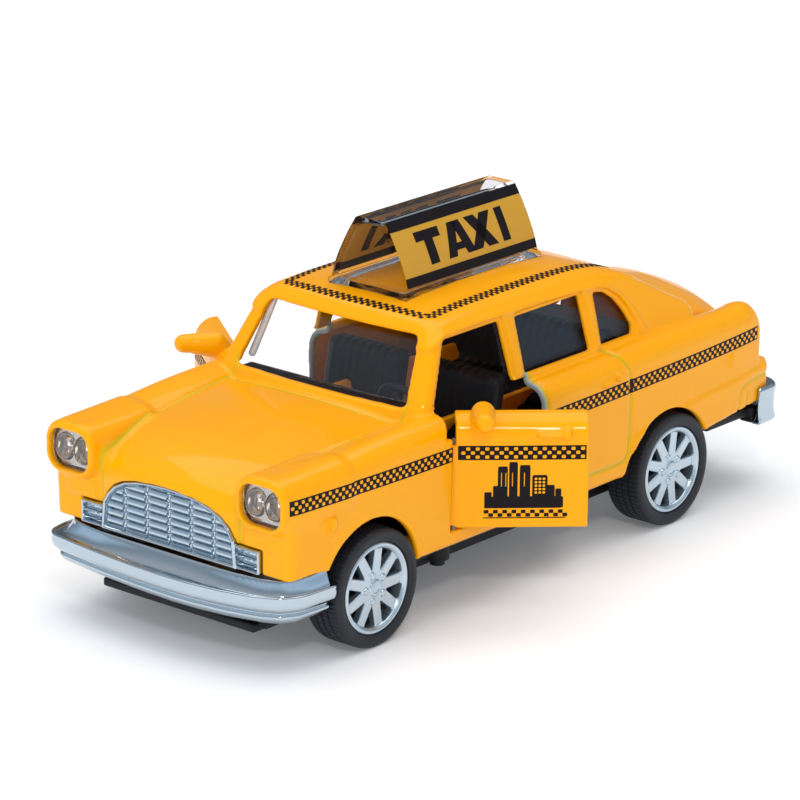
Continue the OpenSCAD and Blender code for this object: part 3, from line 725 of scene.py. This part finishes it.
# The door's picture: a made-up row of buildings, (left edge, width, height), over a checker line.
SKYLINE = [(0.2, 1.1, 2.6), (1.5, 1.2, 3.6), (2.2, 1.5, 6.7), (3.9, 1.3, 7.4), (5.5, 1.6, 6.9),
           (7.4, 2.3, 5.3), (9.6, 1.2, 3.7), (10.9, 0.9, 3.1), (0.9, 11.2, 1.9)]
PICTURE_X, PICTURE_Z = DOOR["front"] - 4.2, 17.2
for side, word in SIDES.items():
    art = Print(door_form, 1, PRINT_START, INK_LIFT)
    for left, width, height in SKYLINE:
        middle = PICTURE_X - left - width / 2
        art.patch(pillow(middle, PICTURE_Z + height / 2, width / 2, height / 2, 0.12))
    for column in range(9):
        for row in range(2):
            x = PICTURE_X - 0.5 - 1.4 * column - 0.7 * row
            art.patch(pillow(x, PICTURE_Z - 0.55 - 0.55 * row, 0.36, 0.28, 0.2))
    art.patch(pillow(PICTURE_X - 6.25, PICTURE_Z - 1.55, 6.25, 0.08, 0.1))
    lit = Print(door_form, 1, PRINT_START, DOT_LIFT)
    for column in range(3):
        for row in range(5):
            lit.patch(pillow(PICTURE_X - 7.95 - 0.6 * column, PICTURE_Z + 2.5 + 0.55 * row, 0.2, 0.17))
    for left in (2.75, 3.4, 4.4, 6.2):
        lit.patch(pillow(PICTURE_X - left, PICTURE_Z + 4.6, 0.06, 1.1, 0.1))
    printed(word + "_door_picture", word + "_door", hung(side), art, lit)

# The roof's checker border: three rows of black squares along both sides and over the windscreen.
ROOF = dict(side=14.35, back=-29.5, front=13.6, cell=0.62, row=0.56)
roof_art = Print(body_skin, 2, 50.0, 0.06, -0.12)
for row in range(3):
    shift = ROOF["cell"] * (row % 2)
    for x in np.arange(ROOF["back"] + shift, ROOF["front"], 2 * ROOF["cell"]):
        for sign in (1, -1):
            roof_art.patch(pillow(x, sign * (ROOF["side"] + ROOF["row"] * (row - 1)), 0.34, 0.3, 0.18))
    for y in np.arange(-ROOF["side"] + 0.5 + shift, ROOF["side"] - 0.4, 2 * ROOF["cell"]):
        x = ROOF["front"] + 0.6 + ROOF["row"] * (row - 1) - 0.004 * y * y
        roof_art.patch(pillow(x, y, 0.3, 0.34, 0.18))
printed("roof_border", "body", {}, roof_art)

# ---------- grille and bumpers ----------

LOUVRE = 1.22
COLUMN = 4.5


def grille_solid(x, y, z):
    """The chrome grille: an arch of overlapping louvres in a round frame, with a barred wing each side."""
    a = np.abs(y)
    arch = outline(GRILLE_ARCH, y, z)
    wing = both(a - 18.05, np.abs(z - 17.05) - 1.88, 0.25)
    row = ((z - 15.0) / LOUVRE) % 1
    leaf = np.clip((row - 0.16) / 0.84, 0, 1)
    leaf = (0.5 + 0.42 * np.sqrt(1.001 - leaf ** 2)) * ramp(row - 0.14, 0.12) * ramp(0.97 - row, 0.06)
    joint_at = np.abs((y / COLUMN + 0.5) % 1 - 0.5) * COLUMN
    bars = 0.66 * ramp(0.24 - joint_at, 0.14)
    studs = 0.9 * ramp(0.36 - np.hypot(joint_at, (row - 0.24) * LOUVRE), 0.2)
    inner = np.maximum(leaf * ramp(joint_at - 0.34, 0.12), np.maximum(bars, studs)) * ramp(-arch - 0.8, 0.12)
    rung = np.abs(((z - 15.6) / 1.16) % 1 - 0.5) * 1.16
    dots = np.minimum(np.abs(a - 14.25), np.abs(a - 17.35))
    barred = 0.75 * ramp(0.2 - rung, 0.14) + 0.35 * ramp(0.4 - np.hypot(dots, rung), 0.2)
    barred = barred * ramp(-wing - 0.42, 0.12) * (arch > 0.1)
    arch_frame = 1.28 * np.sqrt(np.clip(1 - ((arch + 0.34) / 0.46) ** 2, 0, 1))
    wing_frame = 1.05 * np.sqrt(np.clip(1 - ((wing + 0.26) / 0.34) ** 2, 0, 1))
    frames = np.maximum(arch_frame, np.where(arch > 0, wing_frame, 0))
    height = 54.85 + np.maximum(np.maximum(inner, barred), frames)
    return both(0.6 * (x - height), both(np.minimum(arch, wing), 54.3 - x))


BUMPER_PLAN = [(40, -24.9), (53.0, -24.9), (56.2, -24.2), (57.7, -22.4), (58.3, -18), (59.0, -12.5),
               (59.7, -5), (59.95, 2), (59.8, 7), (59.1, 12.8), (57.7, 18.7), (55.9, 22.2), (52.6, 24.2),
               (45.8, 24.7), (40, 24.7)]
NOSE_HALF = [(40, 22.7), (50, 22.7), (53.6, 21.9), (55.4, 19.2), (56.3, 13)]
NOSE_PLAN = [(x, -y) for x, y in NOSE_HALF] + NOSE_HALF[::-1]
BUMPER_ROLL = [(0.15, 12.3), (0.0, 11.5), (0.2, 10.7), (0.8, 10.05), (1.7, 9.75), (1.75, 9.5), (1.3, 9.25),
               (1.35, 8.85), (1.85, 8.25), (2.5, 7.8), (3.3, 7.5), (4.2, 7.4), (4.4, 8), (4.4, 11.2),
               (9, 11.6), (9, 12.4)]


def front_bumper_form(x, y, z):
    """The front bumper: two rolls, a thin lip and a shelf that sweeps up to the nose."""
    inset = -outline(BUMPER_PLAN, x, y, 1.2)
    nose = outline(NOSE_PLAN, x, y, 1.5)
    roll = outline(rounded(BUMPER_ROLL, 0.25, 3), inset, z)
    near = np.clip(nose / np.maximum(inset + nose, 0.5), 0, 1)
    sweep = 12.2 + 2.5 * (1 - near) ** 2.6 - 0.45 * np.sin(math.pi * near)
    shelf = both(0.6 * (z - sweep), both(11.2 - z, 0.25 - inset), 0.1)
    lip = np.hypot(inset - 0.32, z - 12.42) - 0.3
    form = either(either(roll, shelf, 0.1), lip, 0.12)
    form = without(form, both(nose + 3.2, z - 14.0, 0.2))
    return both(form, 45.9 - x, 0.35)


REAR_PLAN = [(-59.8, 24.05), (-64.7, 23.9), (-66.7, 21.6), (-67.5, 14), (-67.75, 0), (-67.5, -14),
             (-66.7, -21.6), (-64.7, -23.9), (-59.8, -24.05), (-50, -24.05), (-50, 24.05)]
REAR_ROLL = [(0.35, 17), (0.0, 16.5), (0.28, 15), (0.34, 13.8), (0.28, 12.4), (0.0, 11.1), (0.35, 10.65),
             (2.1, 10.65), (2.1, 15.6), (9, 15.6), (9, 17)]


def rear_bumper_form(x, y, z):
    inset = -outline(REAR_PLAN, x, y, 2.2)
    roll = outline(rounded(REAR_ROLL, 0.4, 3), inset, z)
    return without(both(roll, x + 59.9, 0.3), body_form(x, y, z) - 0.05)


add(sculpt("grille_casting", grille_solid, (54, -18.6, 14.6), (56.6, 18.6, 25.4), 0.085, CHROME,
           mirrored=True, share=0.6), ["grille"])
add(sculpt("front_bumper_casting", front_bumper_form, (45, -25.4, 6.8), (60.4, 25.4, 15.2), 0.17, CHROME),
    ["front_bumper"])
add(sculpt("rear_bumper_casting", rear_bumper_form, (-68.3, -25, 10), (-60, 25, 17.6), 0.2, CHROME,
           mirrored=True), ["rear_bumper"])


def chassis_form(x, y, z):
    """The underside: a floor pan with sloping sides, axle saddles and brackets for bumpers and body."""
    a = np.abs(y)
    slope = ((a - 15.4) * 4.5 - (z - 6.2) * 6.8) / 8.15
    form = both(box(x, a, z, (-24.4, -1, 6.2), (24.4, 22.2, 10.7), 0.3), slope, 0.3)
    blocks = [((-48.3, -1, 5), (54, 15.4, 6.4)), ((46, -1, 5.4), (52.5, 16.4, 12.2)),
              ((-49.7, -1, 5), (-48.2, 15.4, 12)), ((-60.5, -1, 11.9), (-48.5, 21.6, 13.4)),
              ((52.4, -1, 8.5), (56.2, 3, 11.5)), ((-65.6, 10, 11.9), (-60.4, 14, 13.4)),
              ((-62, 19.6, 10.7), (-60, 22.3, 13.4))]
    saddles = [((axle[0] - 3, 12.4, 6.3), (axle[0] + 3, 15.4, 12.6)) for axle in (FRONT_AXLE, REAR_AXLE)]
    for low, high in blocks + saddles:
        form = np.minimum(form, box(x, a, z, low, high, 0.2))
    boss = np.hypot(np.abs(x) - 14, a - 17) - 1.9
    form = either(form, both(boss, np.abs(z - 8.4) - 2.2, 0.2), 0.2)
    for axle in (FRONT_AXLE, REAR_AXLE):
        form = without(form, np.hypot(x - axle[0], z - axle[2]) - 1.1)
    low, high = cad_box("motor_case")
    motor_hole = box(x, y, z, (low[0] + 2.3, low[1] - 0.2, 0), (high[0] - 2.3, high[1] + 1.2, 20))
    return without(form, motor_hole)


add(sculpt("floor_pan", chassis_form, (-66.5, -23, 4), (57, 23, 14.2), 0.3, BLACK), ["chassis"])

# ---------- lamps ----------

def on_lamp(shape, side):
    return lambda x, y, z: shape(x, y - side * POD["y"], z - LAMP_Z)


def lamp_tray(x, y, z):
    """The bright tray behind a headlight's glass, with a bowl and a bulb for each of its two lamps."""
    tray = both(square(y, z, (LENS["half"][0] - 0.08, LENS["half"][1] - 0.08), LENS["r"]),
                both(x - 55.3, 52.6 - x), 0.15)
    a = np.abs(y) - 1.85
    bowl = np.sqrt(((x - 55.4) / 2.0) ** 2 + (a / 1.75) ** 2 + (z / 2.15) ** 2) - 1
    tray = without(tray, bowl * 1.5, 0.12)
    return either(tray, capsule(x, a, z, (53.2, 0, 0.2), (54.4, 0, 0.2), 0.5, 0.42), 0.1)


def lamp_glass(x, y, z):
    """The clear cover: a plate with a bulge over each lamp."""
    edge = square(y, z, (LENS["half"][0] - 0.05, LENS["half"][1] - 0.05), LENS["r"])
    plate = both(edge, np.abs(x - 55.85) - 0.35, 0.15)
    a = np.abs(y) - 1.85
    bulge = np.sqrt((x - 55.4) ** 2 / 1.4 ** 2 + a ** 2 / 1.8 ** 2 + z ** 2 / 2.2 ** 2) - 1
    return either(plate, both(bulge * 1.5, both(edge + 0.1, 55.7 - x)), 0.2)


def tail_form(x, y, z):
    a = np.abs(y) - 20
    lens = box(x, a, z, (-60.85, -1.45, 23.1), (-58.6, 1.45, 27.8), 0.5)
    return lens + 0.06 * np.cos(z * 2 * math.pi / 0.9)


for side, word in SIDES.items():
    middle = side * POD["y"]
    for part, shape, material, slot in (("reflector", lamp_tray, LAMP, "lamp_bowl"),
                                        ("lens", lamp_glass, LENS_GLASS, "clear_lens")):
        node = f"{word}_headlight_{part}"
        add(sculpt(node + "_moulding", on_lamp(shape, side), (52, middle - 4.2, LAMP_Z - 3.8),
                   (57.4, middle + 4.2, LAMP_Z + 3.8), 0.13, material), [node])
    y0, y1 = sorted((side * 18.2, side * 21.8))
    add(sculpt(word + "_tail_lens", tail_form, (-61.4, y0, 22.6), (-58.2, y1, 28.4), 0.16, RED),
        [word + "_tail_light"])

# ---------- wheels ----------

TYRE_OUT = cad_box("front_left_tyre")[1][1]
GROOVES = [(r, y + step) for y in (19.35, 20.65, 21.95)
           for r, step in ((9.25, 0), (8.98, 0.07), (8.98, 0.27), (9.25, 0.35))]
TREAD = [(7.15, 17.6), (7.25, 17.35), (8.4, 17.32), (8.85, 17.55), (9.12, 17.95), (9.22, 18.4), (9.25, 18.9),
         *GROOVES, (9.25, 23.4), (9.19, 23.8), (9.02, 24.08), (8.78, 24.22), (8.4, 24.28), (7.9, 24.28),
         (7.7, 24.18), (7.5, 24.2), (7.3, 24.12), (7.2, 23.9), (7.15, 23.6), (7.15, 20.0)]
SIPES = 72
SPOKES = 9
LUGS = 5


def within_sector(x, z, count):
    """A point's angle from the middle of its own one of count equal sectors."""
    sector = 2 * math.pi / count
    return (np.arctan2(z, x) + sector / 2) % sector - sector / 2


def tyre_mesh(name, centre, side):
    """The tyre as a turned ring whose tread is cut across by fine sipes."""
    turns = SIPES * 4
    angle = np.arange(turns) * 2 * math.pi / turns
    sipe = (np.arange(turns) % 4 == 0) * 0.13
    rings = []
    for r, y in TREAD:
        reach = r - sipe if r > 9.02 else r
        rings.append(np.stack([reach * np.cos(angle), np.full(turns, y * side), reach * np.sin(angle)], 1))
    points = np.concatenate(rings) + (centre[0], 0, centre[2])
    n = len(TREAD)
    i, j = np.meshgrid(np.arange(n), np.arange(turns), indexing="ij")
    near, far = (i + 1) % n * turns, (j + 1) % turns
    quads = np.stack([i * turns + j, i * turns + far, near + far, near + j], -1).reshape(-1, 4)
    made = mesh_object(name, points, quads if side > 0 else quads[:, ::-1], RUBBER)
    made.data.set_sharp_from_angle(angle=math.radians(38))
    return made


def rim_form(x, depth, z):
    """A wheel about its own axis: depth runs inward from the tyre's outer plane."""
    r = np.hypot(x, z)
    ring = both(r - 7.14, both(6.15 - r, both(depth - 6.2, 0.55 - depth)), 0.1)
    lip = np.hypot(r - 6.72, depth - 0.62) - 0.42
    face = both(r - 6.6, np.abs(depth - 1.45) - 0.75 + 0.02 * r, 0.12)
    turn = within_sector(x, z, SPOKES)
    hole = outline(rounded([(2.7, 0), (6.05, -1.3), (6.2, 0), (6.05, 1.3)], 0.3, 2), r * np.cos(turn),
                   r * np.sin(turn))
    face = without(face, hole, 0.16)
    hub = both(r - 2.5, both(depth - 5.5, 0.95 - depth), 0.2)
    cap = both(r - 1.28, both(depth - 2, 0.42 - depth), 0.3)
    cap = without(cap, both(r - 0.75, depth - 0.62), 0.1)
    turn = within_sector(x, z, LUGS)
    lug = both(np.hypot(r * np.cos(turn) - 2.1, r * np.sin(turn)) - 0.52, both(depth - 2, 0.38 - depth), 0.15)
    form = either(either(ring, lip, 0.15), either(face, hub, 0.25), 0.15)
    return either(form, either(cap, lug, 0.08), 0.15)


def spoke_shade_disc_form(x, depth, z):
    """A black disc behind the spokes: painted shade in the holes between them."""
    return both(np.hypot(x, z) - 6.14, both(depth - 3.4, 2.6 - depth), 0.1)


def on_axle(side, centre):
    def move(points, normals):
        outward = points[:, 1] * -side + side * TYRE_OUT
        placed = np.stack([points[:, 0] + centre[0], outward, points[:, 2] + centre[2]], 1)
        return placed, normals * (1, -side, 1)
    return dict(move=move, flip=side > 0)


for end, centre in (("front", FRONT_AXLE), ("rear", REAR_AXLE)):
    for side, word in SIDES.items():
        wheel, axle, placing = f"{end}_{word}_", end + "_axle", on_axle(side, centre)
        add(tyre_mesh(wheel + "tyre_ring", centre, side), [wheel + "tyre"], axle)
        add(sculpt(wheel + "wheel", rim_form, (-7.4, 0, -7.4), (7.4, 6.5, 7.4), 0.15, SILVER, **placing),
            [wheel + "rim"], axle)
        # A black disc behind each wheel's spokes paints the shade in its holes.
        add(sculpt(wheel + "spoke_shade_disc", spoke_shade_disc_form, (-6.6, 2.2, -6.6), (6.6, 3.8, 6.6), 0.3, BLACK, **placing),
            None, axle)

# ---------- roof sign ----------

SIGN_LOW, SIGN_HIGH = cad_box("roof_sign")
SIGN_BACK, SIGN_FRONT = SIGN_LOW[0] + 0.5, SIGN_HIGH[0] - 0.5
SIGN_TOP, SIGN_FOOT = SIGN_HIGH[2], SIGN_HIGH[2] - 10.4
SIGN_WALL = 0.8
SIGN_SIDE = [(SIGN_FOOT - 1, 7.95), (SIGN_FOOT, 7.58), (SIGN_FOOT + 2.6, 6.75), (SIGN_FOOT + 5.2, 5.58),
             (SIGN_FOOT + 7.8, 4.2), (SIGN_TOP, 2.6)]


def sign_block(x, y, z, inset=0.0):
    slope = (np.abs(y) - along(SIGN_SIDE, z)) * 0.9 + inset
    ends = np.maximum(SIGN_BACK - x, x - SIGN_FRONT) + inset
    return both(both(slope, z - SIGN_TOP + 0.02 + inset, 0.25), ends, 0.12)


def sign_form(x, y, z):
    """The clear roof sign: a thin tent on a flange that follows the roof."""
    tent = without(sign_block(x, y, z), sign_block(x, y, z, SIGN_WALL), 0.05)
    flange = box(x, y, z, (SIGN_LOW[0] + 0.2, SIGN_LOW[1] + 0.2, 44),
                 (SIGN_HIGH[0] - 0.2, SIGN_HIGH[1] - 0.2, SIGN_FOOT - 0.15), 0.25)
    hole = box(x, y, z, (SIGN_BACK + 2, -5.6, 43), (SIGN_FRONT - 2, 5.6, 48), 0.5)
    whole = either(both(tent, SIGN_FOOT - 0.3 - z), flange, 0.1)
    return without(without(whole, hole), body_form(x, y, z) - 0.04)


add(sculpt("roof_sign_tent", sign_form, (SIGN_LOW[0] - 0.6, -8.8, 44.6), (SIGN_HIGH[0] + 0.6, 8.8, 56.8),
           0.22, SIGN_GLASS, mirrored=True), ["roof_sign"])

# Plain block capitals spelling the kind of vehicle: strokes by distance from the word's start and by height.
STROKES = [((0.0, 4.25), (5.7, 4.25), 1.35), ((2.85, 4.9), (2.85, 0.0), 2.0), ((7.1, 0.0), (8.9, 4.9), 1.8),
           ((11.6, 0.0), (9.8, 4.9), 1.8), ((7.9, 1.35), (10.8, 1.35), 1.0), ((13.2, 4.9), (16.9, 0.0), 1.9),
           ((17.0, 4.9), (13.0, 0.0), 1.9), ((20.2, 4.9), (20.2, 0.0), 1.75)]
WORD = dict(margin=5.4, foot=SIGN_FOOT + 2.9)


def stroke(art, a, b, width, side):
    """A bar of a letter with its ends cut level, set so that the word reads right on either side."""
    (u0, v0), (u1, v1) = a, b
    level = v0 == v1
    across = width / 2 if level else width / 2 * math.hypot(u1 - u0, v1 - v0) / abs(v1 - v0)
    start = SIGN_FRONT - WORD["margin"] if side > 0 else SIGN_BACK + WORD["margin"]
    rows = []
    for t in np.linspace(0, 1, 9):
        u, v = u0 + (u1 - u0) * t, v0 + (v1 - v0) * t
        ends = ((u, v - across), (u, v + across)) if level else ((u + across, v), (u - across, v))
        rows.append([(start - side * p, WORD["foot"] + q) for p, q in ends])
    if (v1 > v0 or level) == (side > 0):
        rows = rows[::-1]
    art.strip(rows)


def sheet(art, start, end, low, high, columns, rows):
    """A plain panel of the film."""
    art.strip([[(x, z) for z in np.linspace(high, low, rows)] for x in np.linspace(start, end, columns)])


for side, word in SIDES.items():
    span = (SIGN_BACK + 0.35, SIGN_FRONT - 0.75)
    film = Print(sign_block, 1, 9.5, 0.09, 0.0)
    sheet(film, *span, SIGN_FOOT + 0.55, SIGN_TOP - 0.35, 3, 17)
    bands = Print(sign_block, 1, 9.5, 0.13, -0.03)
    sheet(bands, *span, SIGN_FOOT + 0.55, SIGN_FOOT + 1.95, 3, 5)
    sheet(bands, *span, SIGN_TOP - 1.75, SIGN_TOP - 0.35, 3, 5)
    for a, b, width in STROKES:
        stroke(bands, a, b, width, side)
    add(film.build(word + "_sign_film", OCHRE, **mirrored(side)), [word + "_sign_label"])
    add(bands.build(word + "_sign_print", INK, **mirrored(side)), None)

# ---------- glass and cabin ----------


def glazing_form(x, y, z):
    """The clear moulding under the roof, without panes in the front doors."""
    block = body_form(x, y, z)
    pane = both(without(block + SHELL_T + 0.06, block + SHELL_T + 0.62), both(32.6 - z, -43.4 - x), 0.1)
    door_hole = outline([(1, 30), (1, 42.3), (13.4, 42.3), (20.4, 30)], x, z)
    return without(pane, both(door_hole, 15.3 - np.abs(y)), 0.1)


add(sculpt("cabin_glass", glazing_form, (-44.4, -20, 32), (22, 20, 45.4), 0.35, GLASS, mirrored=True,
           share=0.5), ["glazing"])


def seat_shape(x, y, z, place, half, floor, cushion, top):
    """A pleated seat: a cushion and a back that leans to the rear."""
    pleat = 0.13 * np.cos(y * 2 * math.pi / 1.66)
    base = box(x, y, z, (place, -half, floor), (place + 11, half, floor + cushion), 1.0)
    lean = x + (z - floor - cushion) * 3 / (top - floor - cushion)
    back = box(lean, y, z, (place + 0.1, -half, floor + 1), (place + 3.6, half, top), 1.3)
    return either(base, back, 0.8) + pleat * ramp(lean - place - 1.6, 1.2)


for side, word in SIDES.items():
    low, high = cad_box(word + "_front_seat")
    centre, half = (low[1] + high[1]) / 2, (high[1] - low[1]) / 2
    shape = lambda x, y, z: seat_shape(x, y - centre, z, 0, half, low[2], 6, high[2])
    add(sculpt(word + "_seat", shape, low - 0.8, high + 0.8, 0.33, BLACK), [word + "_front_seat"])
low, high = cad_box("rear_seat")
shape = lambda x, y, z: seat_shape(x, y, z, -27, high[1], low[2], 2, high[2])
add(sculpt("bench", shape, low - 0.8, high + 0.8, 0.33, BLACK, mirrored=True), ["rear_seat"])


def dash_form(x, y, z):
    """The dashboard with a cowl over the dials and a lower panel."""
    low, high = cad_box("dashboard")
    top = box(x, y, z, (low[0], low[1] + 0.1, 24.5), (high[0] - 0.6, high[1] - 0.1, high[2]), 0.7)
    panel = box(x, y, z, (20.2, low[1], low[2]), (high[0], high[1], 25), 0.3)
    form = either(top, panel, 0.6)
    for place, width in ((9.5, 3.4), (0, 2.2), (-9.5, 4.2)):
        form = without(form, box(x, y, z, (15, place - width, 26.2), (17.1, place + width, 29.6), 0.4), 0.2)
    column = capsule(x, y, z, (12.5, 9.5, 28.7), (23, 9.5, 23.8), 0.95, 0.95)
    return without(form, column)


add(sculpt("dashboard_moulding", dash_form, (16, -19.6, 11.6), (22, 19.6, 31.8), 0.3, BLACK), ["dashboard"])


def pillar_glint_strip(x, y, z):
    """The glazing's edge inside each windscreen pillar, coloured white as a painted highlight."""
    a = np.abs(y)
    strip = capsule(x, a, z, (17.9, 17.5, 33.0), (14.9, 15.5, 41.6), 0.6, 0.55)
    return both(strip, body_form(x, y, z) + SHELL_T + 0.05, 0.1)


# A white strip inside each windscreen pillar: a painted highlight on the glazing's edge.
add(sculpt("pillar_glint_strip", pillar_glint_strip, (12, -18.5, 32), (19, 18.5, 43), 0.2, PILLAR_GLINT, mirrored=True), None)

# ---------- carried CAD nodes ----------

FINISH = {"chrome_plate": CHROME, "black_plastic": BLACK, "steel": STEEL, "zinc": STEEL,
          "tyre_rubber": RUBBER, "silver_plastic": SILVER, "grey_plastic": GREY, "white_plastic": IVORY,
          "red_lens": RED,
          "yellow_paint": PAINT, "clear_glazing": GLASS, "clear_lens": GLASS, "sign_plastic": GLASS,
          "label_film": OCHRE, "lamp_bowl": LAMP}
BLACKED = {"left_hinge_pin": GREY, "right_hinge_pin": GREY, "chassis_screws": BLACK}
SLOT = {s["node"]: s["material_slot"] for s in frame["record"]["subparts"]}
for name, node in frame["nodes"].items():
    for material_slot in node.material_slots:
        material_slot.material = BLACKED.get(name, FINISH[SLOT[name]])

# ---------- floor, light and camera ----------

FLOOR_HALF = 3000
PALE = node_material("pale_floor", (0.96, 0.96, 0.96), 0.6, speck=0.005, scale=40, bump=0.0,
                     Emission_Color=(1, 1, 1, 1), Emission_Strength=0.09)
floor_corners = [(u * FLOOR_HALF, v * FLOOR_HALF, 0) for u, v in ((-1, -1), (1, -1), (1, 1), (-1, 1))]
floor = mesh_object("floor", floor_corners, [(0, 1, 2, 3)], PALE, sharp=True)


def studio_world():
    """Soft surroundings: a pale blue-grey band at eye level under a neutral dome, darker behind the car."""
    world = bpy.data.worlds.new("studio")
    world.use_nodes = True
    tree = world.node_tree
    place = shader_node(tree, "TexCoord", {}).outputs["Generated"]
    height = shader_node(tree, "SeparateXYZ", {0: place}).outputs["Z"]
    bands = shader_node(tree, "ValToRGB", dict(Fac=height))
    ramp_colours = bands.color_ramp.elements
    ramp_colours[0].color = (0.36, 0.46, 0.58, 1)
    ramp_colours[1].color = (0.52, 0.53, 0.55, 1)
    for position, tone in ((0.18, (0.50, 0.62, 0.74)), (0.34, (0.26, 0.30, 0.34)),
                           (0.55, (0.42, 0.44, 0.47))):
        ramp_colours.new(position).color = tone + (1,)
    away = shader_node(tree, "VectorMath", {0: place, 1: (-0.76, -0.65, 0)}, operation="DOT_PRODUCT")
    dim = shader_node(tree, "MapRange", dict(Value=away.outputs["Value"], From_Min=0.1, From_Max=0.9,
                                             To_Min=1.0, To_Max=0.4))
    shade = colour_mix(tree, 1.0, bands.outputs["Color"], dim.outputs["Result"], "MULTIPLY")
    feed(tree, tree.nodes["Background"], dict(Color=shade, Strength=1.25))
    bpy.context.scene.world = world


studio_world()


def softbox(name, place, target, size, power, glint=True):
    lamp = bpy.data.lights.new(name, "AREA")
    lamp.shape = "RECTANGLE"
    lamp.size, lamp.size_y = size
    lamp.energy = power
    obj = bpy.data.objects.new(name, lamp)
    bpy.context.collection.objects.link(obj)
    obj.location = place
    obj.visible_glossy = glint
    obj.rotation_euler = (Vector(target) - Vector(place)).to_track_quat("-Z", "Y").to_euler()


softbox("top", (-0.3, -0.2, 2.0), (0, 0, 0), (2.4, 2.4), 30)
softbox("key", (1.14, 1.25, 1.4), (0, 0, 0.02), (0.3, 0.16), 6)
softbox("fill", (1.5, -0.6, 0.7), (0, 0, 0.02), (0.6, 0.4), 3, glint=False)
softbox("low", (1.3, 0.55, 0.16), (0.02, 0, 0), (1.8, 0.28), 5, glint=False)

CAMERA = dict(place=(507.686, 428.591, 241.292), yaw=-139.66039, pitch=18.06186, roll=0.35162, lens=200.974)


def camera_matrix(place, yaw, pitch, roll, lens):
    """The camera's place and turn: forward by yaw and pitch, then a roll about the view axis."""
    yaw, pitch, roll = (math.radians(a) for a in (yaw, pitch, roll))
    ahead = Vector((math.cos(yaw) * math.cos(pitch), math.sin(yaw) * math.cos(pitch), -math.sin(pitch)))
    level = Vector((math.sin(yaw), -math.cos(yaw), 0))
    upright = level.cross(ahead)
    right = math.cos(roll) * level + math.sin(roll) * upright
    up = -math.sin(roll) * level + math.cos(roll) * upright
    matrix = Matrix((right, up, -ahead)).transposed().to_4x4()
    matrix.translation = Vector(place) * MM
    return matrix


camera_data = bpy.data.cameras.new("camera")
camera_data.lens = CAMERA["lens"]
camera_data.sensor_width = 36
camera_data.clip_start = 0.01
camera = bpy.data.objects.new("camera", camera_data)
bpy.context.collection.objects.link(camera)
camera.matrix_world = camera_matrix(**CAMERA)
bpy.context.scene.camera = camera
bpy.context.scene.view_settings.view_transform = "Standard"

bpy.context.view_layer.update()
